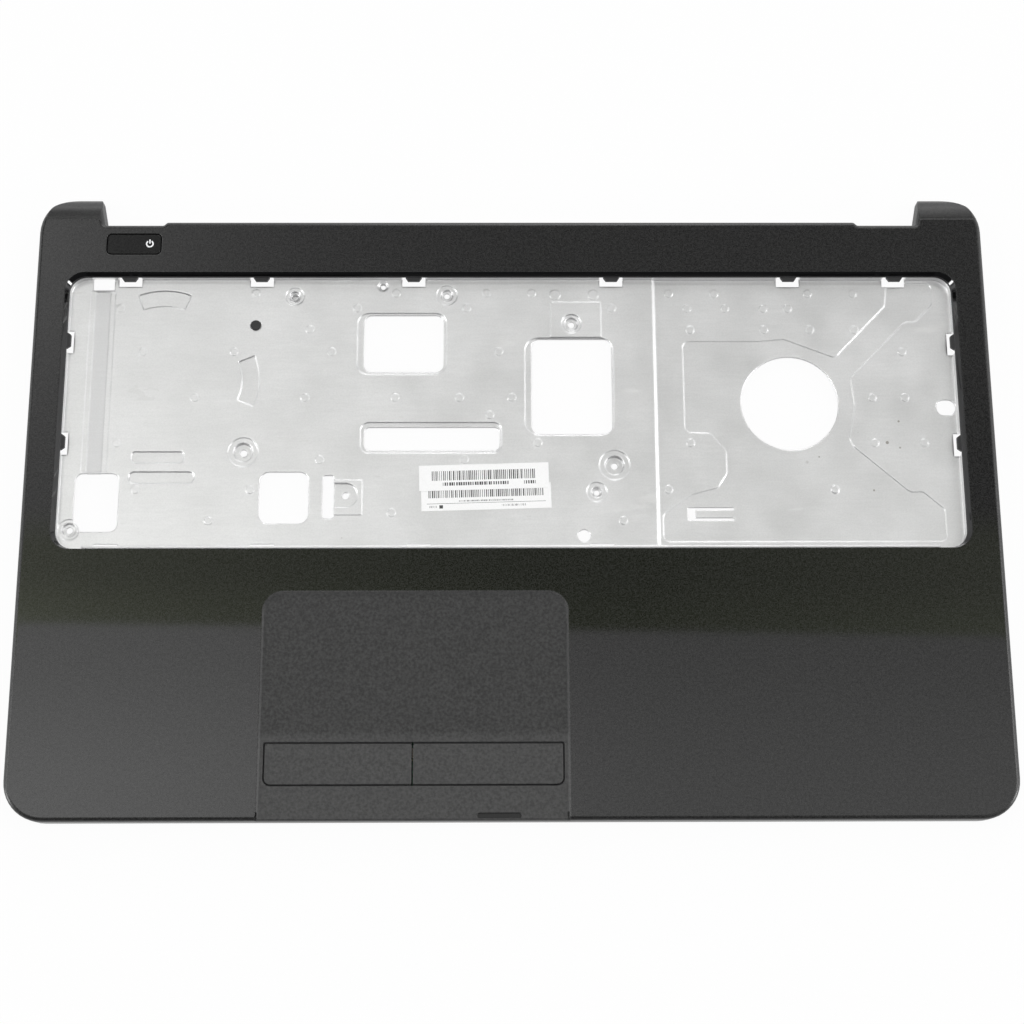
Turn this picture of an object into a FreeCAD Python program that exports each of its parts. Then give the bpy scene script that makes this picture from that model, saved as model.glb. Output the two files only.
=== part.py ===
import FreeCAD, Part
import math
import os

os.makedirs("parts", exist_ok=True)

Vector = FreeCAD.Vector
UP = Vector(0, 0, 1)

# The top cover of a laptop, with the plate that carries the keyboard, the power button and the
# two touchpad buttons. Millimetres. X runs to the right, Y runs from the user's edge to the
# hinges, Z is up. The origin is under the middle of the cover, level with the foot of its rim.

# Moulded cover
cover_width = 376.0
cover_depth = 248.0
cover_height = 9.0
deck_wall = 1.8
rim_wall = 1.8
outer_corner_radius = 15.0
deck_edge_radius = 2.0

# Hinge ears, hinge notches and the bar between them
ear_width = 26.0
ear_corner_radius = 15.7
ear_length = 12.6
ear_inner_taper = 2.5
ear_roll_length = 10.0
ear_roll_drop = 6.0
ear_roll_bulge = 1.5
ear_groove_radius = 0.8
ear_groove_depth = 0.25
notch_width = 24.6
bar_step = 1.3
notch_corner_radius = 1.3
hinge_gap_height = 6.0
hinge_gap_margin = 1.5

# Keyboard bay in the deck
bay_width = 352.6
bay_length = 112.5
bay_behind = 21.6
bay_corner_radius = 7.5
bevel_drop = 2.2
bevel_inset = 1.5
bevel_front_inset = 0.5
lip_land = 0.4
lip_width = 2.5

# Pressed sheet plate under the keyboard
sheet = 0.8
plate_drop = 5.0
flange_width = 6.0
joggle_x = 56.0
joggle_run = 1.3
joggle_drop = 0.6
front_lip_gap = 0.6
front_lip_height = 1.2
front_lip_margin = 10.0
pressed_step = 0.25
press_wall = 0.75 * sheet
round_end_share = 0.48

# Heat stakes that hold the plate's flange up against the cover
stake_radius = 0.9
stake_clearance = 0.2
stake_head_radius = 1.7
stake_head_height = 0.8
stake_boss_radius = 2.0
stakes_across = 9
stakes_deep = 3

# Windows and hooks around the plate's edge
window_length = 9.2
window_back_reach = 2.9
window_side_reach = 2.1
window_outer_reach = 1.7
hook_root = 6.4
hook_tip = 4.4
hook_reach = 1.4
hook_root_reach = 1.2
hook_drop = 1.3
hook_windows_x = [-151.5, -99.2, -38.8, 39.8, 110.4, 152.7]
left_windows_forward = [27.7, 69.3]
right_windows_forward = [28.6, 70.2]

# Touchpad area, a shallow recess that runs off the front edge
touch_x = -36.6
touch_width = 115.7
touch_bay_margin = 16.6
touch_depth = 0.5
touch_corner_radius = 8.0
touch_back_slope = 2.2
touch_side_slope = 0.8
edge_notch_width = 0.6
edge_notch_length = 3.2
edge_notch_depth = 0.7
scoop_x = -5.0
scoop_length = 16.4
scoop_width = 2.0
scoop_depth = 0.6
scoop_setback = 1.9

# Touchpad buttons
key_width = 111.8
key_depth = 16.2
key_front_margin = 12.7
key_split_shift = -0.6
key_gap = 0.6
key_front_radius = 3.0
key_back_radius = 0.7
key_top_wall = 1.3
key_side_wall = 1.2
key_travel = 0.5
key_flange = 0.8
key_flange_height = 0.7
key_pusher_drop = 1.4
cap_edge_radius = 0.25

# Power button
power_width = 22.0
power_length = 9.1
power_notch_margin = 1.5
power_back_margin = 5.3
power_radius = 2.2
power_gap = 0.45
power_travel = 0.3
icon_inset = 4.8
icon_shift = 0.15
icon_radius = 1.55
icon_line = 0.55
icon_gap_angle = 34.0
icon_bar_start = 0.1
icon_bar_reach = 0.3
icon_disc_height = 0.6
icon_stem_radius = 1.1
icon_disc_rim = 0.5
power_pusher_drop = 1.8
power_switch_inset = 7.7
power_board_margin = 0.6

# Reach of a cut past the part, and the sizes below which places and corners count as one
cut_margin = 1.0
same_place = 1e-6
small_radius = 0.01

# Small parts shared by the boards
running_gap = 0.3
fit_gap = 0.05
board_thickness = 1.0
switch_size = 6.0
switch_height = 1.8
switch_corner_radius = 0.5
plunger_radius = 0.9
plunger_clearance = 0.15
plunger_overtravel = 0.2
plunger_in_body = 0.6
pusher_size = 3.2
socket_length = 12.0
socket_width = 3.6
socket_height = 1.6
socket_slot = 0.5
socket_wall = 1.0
led_size = 1.6
led_height = 0.8
chip_size = 8.0
chip_height = 1.0
chip_socket_gap = 6.0
tape_thickness = 0.2

# Touchpad sensor board under the deck
sensor_width = 107.0
sensor_key_margin = 3.1
sensor_back_margin = 4.0

# Steel bracket that carries the button board
bracket_sheet = 0.6
bracket_side = 8.4
bracket_end = 4.4
bracket_rib = 2.0
bracket_boss_inset = 3.4
bracket_boss_radius = 2.3
bracket_window_length = 18.0
bracket_window_pitch = 30.0
bracket_window_margin = 5.0
button_board_margin = 1.2

# Screws and brass inserts
small_insert_radius = 1.6
small_screw_radius = 0.8
small_insert_length = 3.0
small_head_radius = 1.8
small_head_height = 0.8
base_insert_radius = 1.9
base_screw_radius = 1.05
base_insert_length = 4.0
base_boss_radius = 2.7
base_boss_lift = 1.5
corner_boss_margin = 16.0
corner_boss_front_margin = 14.0
inner_boss_margin = 73.0
inner_boss_bay_margin = 38.6
boss_back_margin = 8.7
screw_tip_gap = 0.4
insert_groove_depth = 0.25
insert_groove_share = 0.2
recess_length_share = 0.7
recess_width_share = 0.16

# Ribs and catches on the underside of the cover
rib_width = 1.0
rib_height = 2.0
rib_row_count = 3
left_rib_count = 2
right_rib_count = 3
side_catch_count = 4
front_catch_count = 4
catch_length = 8.0
catch_reach = 0.8
catch_height = 1.6
catch_lift = 2.4

# Printed labels on the plate
label_length = 50.3
label_width = 10.2
label_thickness = 0.1
label_angle = 1.6

# Features pressed or cut in the plate. Each place is an x and a distance forward of the bay's
# back edge, and a region is its two x, its two distances and a corner radius.
# Windows, each as its opening and the shallow step around it
stepped_windows = [
    ((-58.2, -26.8, 16.5, 40.0, 3.0), (-60.9, -25.6, 15.6, 41.1, 4.5)),
    ((8.0, 39.4, 26.5, 65.6, 3.0), (5.3, 40.2, 25.9, 66.1, 5.5)),
    ((-57.5, -4.8, 62.9, 72.1, 2.0), (-59.0, -4.0, 60.9, 73.3, 3.2)),
]
plain_openings = [
    (-97.6, -78.7, 81.1, 101.5, 3.6),
    (-169.0, -152.0, 81.6, 104.7, 3.0),
    (-73.1, -68.9, 82.5, 99.5, 1.0),
]
window_step = 0.5
round_hole = (109.3, 53.0, 19.1)
locating_hole = (27.8, 106.6, 2.4)
spring_tab = (68.2, 86.0, 95.3, 100.2)
spring_slit = 0.8
spring_end_gap = 2.8
slit_radius = 0.2
pad_radius = 0.4
side_oval = (7.9, 51.8, 58.0)

# Screw cups: x, forward, ring radius, cup radius, cup depth, hole radius, open below
cups = [
    (-104.5, 72.9, 5.85, 3.8, 1.7, 1.4, True),
    (40.0, 78.3, 5.95, 3.75, 1.7, 1.3, True),
    (32.9, 89.1, 3.9, 2.1, 1.4, 1.15, True),
    (-86.0, 8.5, 3.7, 2.2, 0.9, 1.25, False),
    (-51.0, 4.4, 2.1, 1.5, 0.6, 1.0, True),
    (-25.6, 8.1, 4.1, 2.4, 0.9, 1.15, True),
    (23.8, 20.1, 3.9, 2.7, 1.2, 1.25, True),
    (-170.4, 103.9, 4.1, 2.7, 1.4, 1.25, True),
]
cup_ring_step = 0.3
cup_draft = 0.25
blind_depth = 1.2

# Raised dots left by the press, in rows: distance forward, then the x of each
dot_rows = {
    7.2: [-101.5, -45.7, -9.8, 8.2, 62.8, 80.9, 118.2, 136.3],
    13.5: [-155.0, -61.1, -17.7, 40.0, 69.9, 85.0, 100.3, 110.0],
    22.4: [-79.7, 71.0, 100.3, 118.5, 136.3],
    31.7: [-145.3, -109.4, -70.9, -5.0, 154.7],
    50.7: [-124.2, -81.0, -45.6, -20.4, 0.1, 141.9, 154.7],
    57.8: [-8.5],
    69.2: [-153.7, 10.3, 69.9, 141.9, 161.3],
    76.0: [-74.7, -18.4],
    88.0: [-145.7, -101.3, 60.8, 125.5],
    97.3: [-46.5],
    100.5: [-117.0, 43.0],
}
dot_radius = 1.6
dot_height = 0.15
large_dots = [(17.4, 7.9), (32.6, 7.9)]
large_dot_radius = 2.1

# The pressed-down region right of the joggle: corners as x and distance forward
low_region = [
    (58.5, 98.1), (70.0, 90.0), (80.0, 87.3), (83.7, 81.6), (83.7, 72.4), (77.7, 65.2),
    (67.8, 64.9), (67.8, 27.3), (98.0, 27.3), (108.0, 26.4), (127.9, 34.2), (148.8, 12.5),
    (150.0, 2.8), (167.8, 2.8), (167.8, 11.8), (160.5, 19.1), (156.7, 19.1), (133.6, 42.4),
    (134.8, 54.0), (132.1, 67.8), (133.7, 70.8), (154.7, 89.2), (159.7, 89.0), (167.8, 96.1),
    (167.8, 108.8), (58.5, 108.8),
]
low_region_radius = 2.5
channel = (-167.1, -157.2, 6.4, 81.0)
channel_inner_inset = 2.0
channel_radius = 0.5
screw_pad = (15.5, 35.6, 11.0, 25.7)
tab_pad = (-68.9, -57.9, 84.2, 98.2)
tab_recess = (-68.9, -59.8, 85.5, 95.1)
tab_recess_depth = 0.9
tab_hole = (-64.4, 90.4, 1.3)
beads = [(-147.8, -127.5, 72.7, 77.2, 1.3), (-148.6, -123.1, 80.8, 85.4, 2.3)]
bead_depth = 0.7
# Curved beads: centre x, centre forward, inner radius, outer radius, middle angle, half angle
curved_beads = [(-137.7, 35.4, 22.8, 29.3, 90.0, 21.0), (-125.5, 43.7, 19.6, 26.4, 0.0, 23.5)]
front_slots_x = [-156.0, -95.9, -35.8, 34.8]
front_slot_width = 0.9
plain_window = (-166.2, -157.8, 0.9, 5.9)
plug_place = (-101.2, 20.7)
plug_radius = 2.05
plug_flange = 0.7
plug_proud = 0.3

label_places = [(-9.9, 91.0), (-10.8, 83.0)]

# Levels that follow from the sizes above
plunger_proud = key_travel + plunger_overtravel
deck_z = cover_height
under_deck = deck_z - deck_wall
bevel_z = deck_z - bevel_drop
lip_z = bevel_z - lip_land
plate_top = deck_z - plate_drop
plate_under = plate_top - sheet
low_top = plate_top - joggle_drop
low_under = low_top - sheet
flange_under = lip_z - sheet
touch_z = deck_z - touch_depth

# Levels just clear of the part for cuts that run right through, and the top of a boss's root
cut_low = -cut_margin
cut_high = deck_z + cut_margin
root_z = deck_z - deck_wall / 2

# Places that follow from the sizes above
side_x = cover_width / 2
front_y = -cover_depth / 2
back_y = cover_depth / 2
ear_x = side_x - ear_width
notch_x = ear_x - notch_width
notch_y = back_y - ear_length
bar_y = notch_y + bar_step
bay_x = bay_width / 2
bay_back = bar_y - bay_behind
bay_front = bay_back - bay_length
foot_x = bay_x - bevel_inset
foot_back = bay_back - bevel_inset
foot_front = bay_front + bevel_front_inset
foot_radius = bay_corner_radius - bevel_inset / 2
far = cover_width
touch_left = touch_x - touch_width / 2
touch_right = touch_x + touch_width / 2
touch_back = bay_front - touch_bay_margin
key_left = touch_x - key_width / 2
key_right = touch_x + key_width / 2
key_split = touch_x + key_split_shift
key_front = front_y + key_front_margin
key_back = key_front + key_depth
sensor_left = touch_x - sensor_width / 2
sensor_right = touch_x + sensor_width / 2
sensor_front = key_back + sensor_key_margin
sensor_back = touch_back - sensor_back_margin
power_right = -notch_x - power_notch_margin
power_left = power_right - power_width
power_back = bar_y - power_back_margin
power_front = power_back - power_length


def plate_y(forward):
    """A place on the plate, given as a distance forward of the bay's back edge."""
    return bay_back - forward


def rectangle(x0, x1, y0, y1, radius):
    """Corners of a rounded rectangle, anticlockwise from the front left."""
    return [(x0, y0, radius), (x1, y0, radius), (x1, y1, radius), (x0, y1, radius)]


def outline(corners, z):
    """A closed wire through corners (x, y, radius), where neighbours share the side between
    them in the ratio of their radii."""
    count = len(corners)
    entries = []
    for i in range(count):
        before = Vector(*corners[i - 1][:2], z)
        here = Vector(*corners[i][:2], z)
        after = Vector(*corners[(i + 1) % count][:2], z)
        radius = corners[i][2]
        to_before = before - here
        to_after = after - here
        half_angle = to_before.getAngle(to_after) / 2
        if radius < small_radius or half_angle > math.pi / 2 - same_place:
            entries.append((here, None, here))
            continue
        room = min(to_before.Length / (radius + corners[i - 1][2]),
                   to_after.Length / (radius + corners[(i + 1) % count][2]))
        tangent = min(radius / math.tan(half_angle), 2 * round_end_share * radius * room)
        used_radius = tangent * math.tan(half_angle)
        to_before.normalize()
        to_after.normalize()
        bisector = to_before + to_after
        bisector.normalize()
        middle = here + bisector * (used_radius / math.sin(half_angle) - used_radius)
        entries.append((here + to_before * tangent, middle, here + to_after * tangent))
    edges = []
    for i in range(count):
        start, middle, end = entries[i]
        if middle is not None:
            edges.append(Part.Arc(start, middle, end).toShape())
        next_start = entries[(i + 1) % count][0]
        if (next_start - end).Length > same_place:
            edges.append(Part.LineSegment(end, next_start).toShape())
    return Part.Wire(edges)


def prism(corners, low, high):
    """A flat-ended solid with the given outline, between two heights."""
    return Part.Face(outline(corners, low)).extrude(Vector(0, 0, high - low))


def box(x0, x1, y0, y1, z0, z1):
    return Part.makeBox(x1 - x0, y1 - y0, z1 - z0, Vector(x0, y0, z0))


def rod(x, y, radius, low, high):
    return Part.makeCylinder(radius, high - low, Vector(x, y, low))


def fuse_all(first, others):
    """One solid from a solid and the pieces moulded on it."""
    return first.fuse(others).removeSplitter()


def save(shape, name):
    """Write one piece, checked as closed and valid."""
    if not shape.isValid():
        print("not valid:", name)
    shape.exportStep("parts/" + name + ".step")
    print(name, "solids", len(shape.Solids), "volume", round(shape.Volume, 1))


def group(solids):
    return Part.makeCompound(solids)


def cover_outline(inset):
    """The cover seen from above, drawn in by a wall when inset is more than nothing."""
    small = notch_corner_radius
    side = side_x - inset
    back = back_y - inset
    ear_inner = ear_x + inset
    right = [
        (side, front_y + inset, outer_corner_radius - inset),
        (side, back, ear_corner_radius - inset),
        (ear_inner + ear_inner_taper, back, small),
        (ear_inner, notch_y - inset, small),
        (notch_x - inset + bar_step, notch_y - inset, small),
        (notch_x - inset, bar_y - inset, small),
    ]
    left = [(-x, y, radius) for x, y, radius in reversed(right)]
    return right + left


def roll_cut(inset):
    """What is taken off the ears' backs so that they roll down, seen along X as an arc."""
    start = Vector(0, back_y - ear_roll_length, deck_z)
    end = Vector(0, back_y, deck_z - ear_roll_drop)
    chord = end - start
    radius = (chord.Length ** 2 / 4 + ear_roll_bulge ** 2) / (2 * ear_roll_bulge)
    inward = Vector(0, chord.z, -chord.y).normalize()
    centre = (start + end) * 0.5 + inward * (radius - ear_roll_bulge)
    shrink = (radius - inset) / radius
    arc_start = centre + (start - centre) * shrink
    arc_end = centre + (end - centre) * shrink
    arc_middle = centre - inward * (radius - inset)
    high = cut_high
    beyond = back_y + ear_length
    points = [arc_end, Vector(0, beyond, arc_end.z), Vector(0, beyond, high),
              Vector(0, arc_start.y, high), arc_start]
    edges = [Part.Arc(arc_start, arc_middle, arc_end).toShape()]
    for a, b in zip(points, points[1:]):
        edges.append(Part.LineSegment(a, b).toShape())
    face = Part.Face(Part.Wire(edges))
    face.translate(Vector(-far, 0, 0))
    return face.extrude(Vector(2 * far, 0, 0))


def bay_rectangle(grow, radius):
    """The foot of the bay's bevel, grown outwards on every side."""
    return rectangle(-foot_x - grow, foot_x + grow, foot_front - grow, foot_back + grow, radius)


def bay_cut():
    """The keyboard bay: a bevel that narrows to its foot, then straight down."""
    top = outline(rectangle(-bay_x, bay_x, bay_front, bay_back, bay_corner_radius), deck_z)
    foot = outline(bay_rectangle(0, foot_radius), bevel_z)
    bevel = Part.makeLoft([top, foot], True, True)
    return bevel.fuse(prism(bay_rectangle(0, foot_radius), cut_low, bevel_z))


def touch_cut():
    """The touchpad's recess, with soft steps at its back and sides, open at the front edge."""
    beyond = front_y - touch_corner_radius
    top = rectangle(touch_left, touch_right, beyond, touch_back, touch_corner_radius)
    floor = rectangle(touch_left + touch_side_slope, touch_right - touch_side_slope, beyond,
                      touch_back - touch_back_slope, touch_corner_radius - touch_side_slope)
    return Part.makeLoft([outline(top, deck_z), outline(floor, touch_z)], True, True)


def key_corners(x0, x1, grow):
    """One button of the pair, or the whole opening, grown outwards when grow is positive."""
    front = key_front
    front_left = key_front_radius if x0 <= key_left else key_back_radius
    front_right = key_front_radius if x1 >= key_right else key_back_radius
    return [
        (x0 - grow, front - grow, front_left + grow),
        (x1 + grow, front - grow, front_right + grow),
        (x1 + grow, key_back + grow, key_back_radius),
        (x0 - grow, key_back + grow, key_back_radius),
    ]


def power_corners(grow):
    return rectangle(power_left - grow, power_right + grow, power_front - grow,
                     power_back + grow, power_radius + grow)


def stake_places():
    """Centres of the heat stakes, along the middle of the plate's flange."""
    offset = sheet + flange_width / 2
    places = []
    reach_x = foot_x - 2 * bay_corner_radius
    for i in range(stakes_across):
        x = -reach_x + i * 2 * reach_x / (stakes_across - 1)
        places.append((x, foot_back + offset))
        places.append((x, foot_front - offset))
    for i in range(stakes_deep):
        y = foot_front + (i + 0.5) * (foot_back - foot_front) / stakes_deep
        places.append((-foot_x - offset, y))
        places.append((foot_x + offset, y))
    return places


def edge_windows():
    """Each window at the plate's edge, as its centre and which side of the bay it is on."""
    windows = [(x, foot_back, "back") for x in hook_windows_x]
    windows += [(-foot_x, plate_y(d), "left") for d in left_windows_forward]
    windows += [(foot_x, plate_y(d), "right") for d in right_windows_forward]
    return windows


def turned(shape, x, y, side):
    """Move a piece drawn at the back edge, facing forwards, to its side of the bay."""
    angles = {"back": 0, "left": 90, "right": -90}
    placed = shape.copy()
    placed.rotate(Vector(0, 0, 0), UP, angles[side])
    placed.translate(Vector(x, y, 0))
    return placed


def hook(x, y, side):
    """A wedge of the cover that stands in over a window, for the keyboard's tabs."""
    root = hook_root / 2
    tip = hook_tip / 2
    corners = [(-tip, -hook_reach, 0), (tip, -hook_reach, 0), (root, 0, 0),
               (root, hook_root_reach, 0), (-root, hook_root_reach, 0), (-root, 0, 0)]
    return turned(prism(corners, lip_z - hook_drop, bevel_z - lip_land / 4), x, y, side)


def bracket_boss_places():
    left = key_left - bracket_side + bracket_boss_inset
    right = key_right + bracket_side - bracket_boss_inset
    back = key_back + bracket_end - bracket_boss_inset
    front = key_front - bracket_end + bracket_boss_inset
    return [(left, back), (right, back), (left, front), (right, front)]


def base_boss_places():
    corner_x = side_x - corner_boss_margin
    inner_x = side_x - inner_boss_margin
    back = bar_y - boss_back_margin
    places = []
    for side in (-1, 1):
        places.append((side * corner_x, front_y + corner_boss_front_margin))
        places.append((side * corner_x, back))
        places.append((side * inner_x, bay_front - inner_boss_bay_margin))
        places.append((side * inner_x, back))
    return places


def power_screw_places():
    middle = (power_front + power_back) / 2
    out = key_flange + bracket_boss_radius + running_gap
    return [(power_left - out, middle), (power_right + out, middle)]


# Heights of the boards, worked up from the tops of the switches
key_pusher_z = touch_z - key_top_wall - key_pusher_drop
key_board_top = key_pusher_z - plunger_proud - switch_height
key_board_under = key_board_top - board_thickness
bracket_under = key_board_under - bracket_sheet
power_pusher_z = under_deck - power_pusher_drop
power_board_top = power_pusher_z - plunger_proud - switch_height
power_board_under = power_board_top - board_thickness


def evenly(start, end, count):
    """Places that divide a span into count + 1 equal parts."""
    return [start + (i + 1) * (end - start) / (count + 1) for i in range(count)]


def palm_ribs():
    """Stiffening ribs under the palm rest, left and right of the touchpad."""
    low = under_deck - rib_height
    rows = evenly(front_y, foot_front - sheet - flange_width, rib_row_count)
    ribs = []
    for start, end, count in (
            (-side_x + rim_wall / 2, key_left - bracket_side - rib_width, left_rib_count),
            (key_right + bracket_side + rib_width, side_x - rim_wall / 2, right_rib_count)):
        for y in rows:
            ribs.append(box(start, end, y, y + rib_width, low, root_z))
        for x in evenly(start, end, count):
            ribs.append(box(x, x + rib_width, rows[0], rows[-1] + rib_width, low, root_z))
    return ribs


def rim_catches():
    """Catches inside the rim that the laptop's base snaps over."""
    reach = rim_wall + catch_reach
    high = catch_lift + catch_height
    half = catch_length / 2
    catches = []
    for y in evenly(front_y, bar_y, side_catch_count):
        for side in (-1, 1):
            inner = side * (side_x - reach)
            outer = side * (side_x - rim_wall / 2)
            catches.append(box(min(inner, outer), max(inner, outer), y - half, y + half,
                               catch_lift, high))
    for x in evenly(-side_x, side_x, front_catch_count):
        catches.append(box(x - half, x + half, front_y + rim_wall / 2, front_y + reach,
                           catch_lift, high))
    return catches


def make_top_cover():
    """The whole moulding: deck, rim, ears, bay, hooks, bosses and stakes in one piece."""
    outer = prism(cover_outline(0), 0, deck_z)
    rounded = []
    for edge in outer.Edges:
        centre = edge.CenterOfMass
        on_top = all(abs(vertex.Z - deck_z) < same_place for vertex in edge.Vertexes)
        on_front = centre.y < front_y + same_place
        on_side = abs(centre.x) > side_x - max(outer_corner_radius, ear_corner_radius)
        if on_top and (on_front or on_side):
            rounded.append(edge)
    outer = outer.makeFillet(deck_edge_radius, rounded)
    outer = outer.cut(roll_cut(0))
    cavity = prism(cover_outline(rim_wall), cut_low, under_deck).cut(roll_cut(deck_wall))
    shell = outer.cut(cavity)

    head_low = flange_under - stake_head_height
    added = [prism(bay_rectangle(lip_width, foot_radius + lip_width), lip_z, root_z)]
    for x, y in stake_places():
        added.append(rod(x, y, stake_boss_radius, lip_z, root_z))
        added.append(rod(x, y, stake_radius, head_low, root_z))
        added.append(rod(x, y, stake_head_radius, head_low, flange_under))
    for x, y in bracket_boss_places():
        added.append(rod(x, y, bracket_boss_radius, key_board_under, root_z))
    for x, y in power_screw_places():
        added.append(rod(x, y, bracket_boss_radius, power_board_top, root_z))
    for x, y in base_boss_places():
        added.append(rod(x, y, base_boss_radius, base_boss_lift, root_z))
    added += palm_ribs()
    added += rim_catches()
    solid = shell.fuse(added)

    cuts = [bay_cut(), touch_cut()]
    cuts.append(prism(key_corners(key_left, key_right, 0), cut_low, cut_high))
    cuts.append(prism(power_corners(0), cut_low, cut_high))
    for x, y in bracket_boss_places():
        cuts.append(rod(x, y, small_insert_radius, cut_low, key_board_under + small_insert_length))
    for x, y in power_screw_places():
        cuts.append(rod(x, y, small_insert_radius, cut_low, power_board_top + small_insert_length))
    for x, y in base_boss_places():
        cuts.append(rod(x, y, base_insert_radius, cut_low, base_boss_lift + base_insert_length))
    groove_z = deck_z + ear_groove_radius - ear_groove_depth
    groove_y = back_y - ear_roll_length
    for side in (-1, 1):
        inner = side * (notch_x + bar_step + hinge_gap_margin)
        outer = side * (ear_x - hinge_gap_margin)
        cuts.append(box(min(inner, outer), max(inner, outer), notch_y - 1.2 * rim_wall,
                        notch_y + rim_wall, cut_low, hinge_gap_height))
        start = Vector(side * (ear_x - rim_wall), groove_y, groove_z)
        cuts.append(Part.makeCylinder(ear_groove_radius, 1.2 * ear_width, start,
                                      Vector(side, 0, 0)))
    half = edge_notch_width / 2
    for x in (touch_left, touch_right - touch_side_slope):
        cuts.append(box(x - half, x + half, front_y - rim_wall, front_y + edge_notch_length,
                        touch_z - edge_notch_depth, cut_high))
    scoop_y = front_y + scoop_setback
    cuts.append(prism(rectangle(scoop_x - scoop_length / 2, scoop_x + scoop_length / 2,
                                scoop_y - scoop_width / 2, scoop_y + scoop_width / 2,
                                scoop_width / 2), touch_z - scoop_depth, cut_high))
    solid = solid.cut(cuts)
    solid = solid.fuse([hook(x, y, side) for x, y, side in edge_windows()])
    return solid.removeSplitter()


def floor_at(x):
    """Height of the plate's top at x: the right-hand part is set lower by the joggle."""
    return plate_top if x < joggle_x else low_top


def floor_line(offset):
    """The plate's section along X, moved up or down by offset."""
    return [
        Vector(-far, 0, plate_top + offset),
        Vector(joggle_x, 0, plate_top + offset),
        Vector(joggle_x + joggle_run, 0, low_top + offset),
        Vector(far, 0, low_top + offset),
    ]


def slab(line, z):
    """Everything between a section line and a level, over the whole depth."""
    points = line + [Vector(far, 0, z), Vector(-far, 0, z), line[0]]
    face = Part.Face(Part.makePolygon(points))
    face.translate(Vector(0, -far, 0))
    return face.extrude(Vector(0, 2 * far, 0))


def on_plate(region, radius, grow=0):
    x0, x1, nearer, further = region
    return rectangle(x0 - grow, x1 + grow, plate_y(further) - grow, plate_y(nearer) + grow,
                     radius + grow)


def half_round(region, grow=0):
    """A recess that is square at its left end and round at its right end."""
    x0, x1, nearer, further = region
    radius = round_end_share * (further - nearer)
    return [(x0, plate_y(further) - grow, 0), (x1 + grow, plate_y(further) - grow, radius + grow),
            (x1 + grow, plate_y(nearer) + grow, radius + grow), (x0, plate_y(nearer) + grow, 0)]


def curved_face(bead, grow):
    """The outline of a bead that follows an arc, as a face."""
    x, forward, inner, outer, middle_angle, narrow_angle = bead
    centre = Vector(x, plate_y(forward), 0)
    half_angle = narrow_angle + math.degrees(grow / outer)

    def point(radius, angle):
        turn = math.radians(middle_angle + angle)
        return centre + Vector(radius * math.cos(turn), radius * math.sin(turn), 0)

    low = inner - grow
    high = outer + grow
    edges = [
        Part.Arc(point(high, -half_angle), point(high, 0), point(high, half_angle)).toShape(),
        Part.LineSegment(point(high, half_angle), point(low, half_angle)).toShape(),
        Part.Arc(point(low, half_angle), point(low, 0), point(low, -half_angle)).toShape(),
        Part.LineSegment(point(low, -half_angle), point(high, -half_angle)).toShape(),
    ]
    return Part.Face(Part.Wire(edges))


def lifted(face, low, high):
    placed = face.copy()
    placed.translate(Vector(0, 0, low))
    return placed.extrude(Vector(0, 0, high - low))


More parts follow.
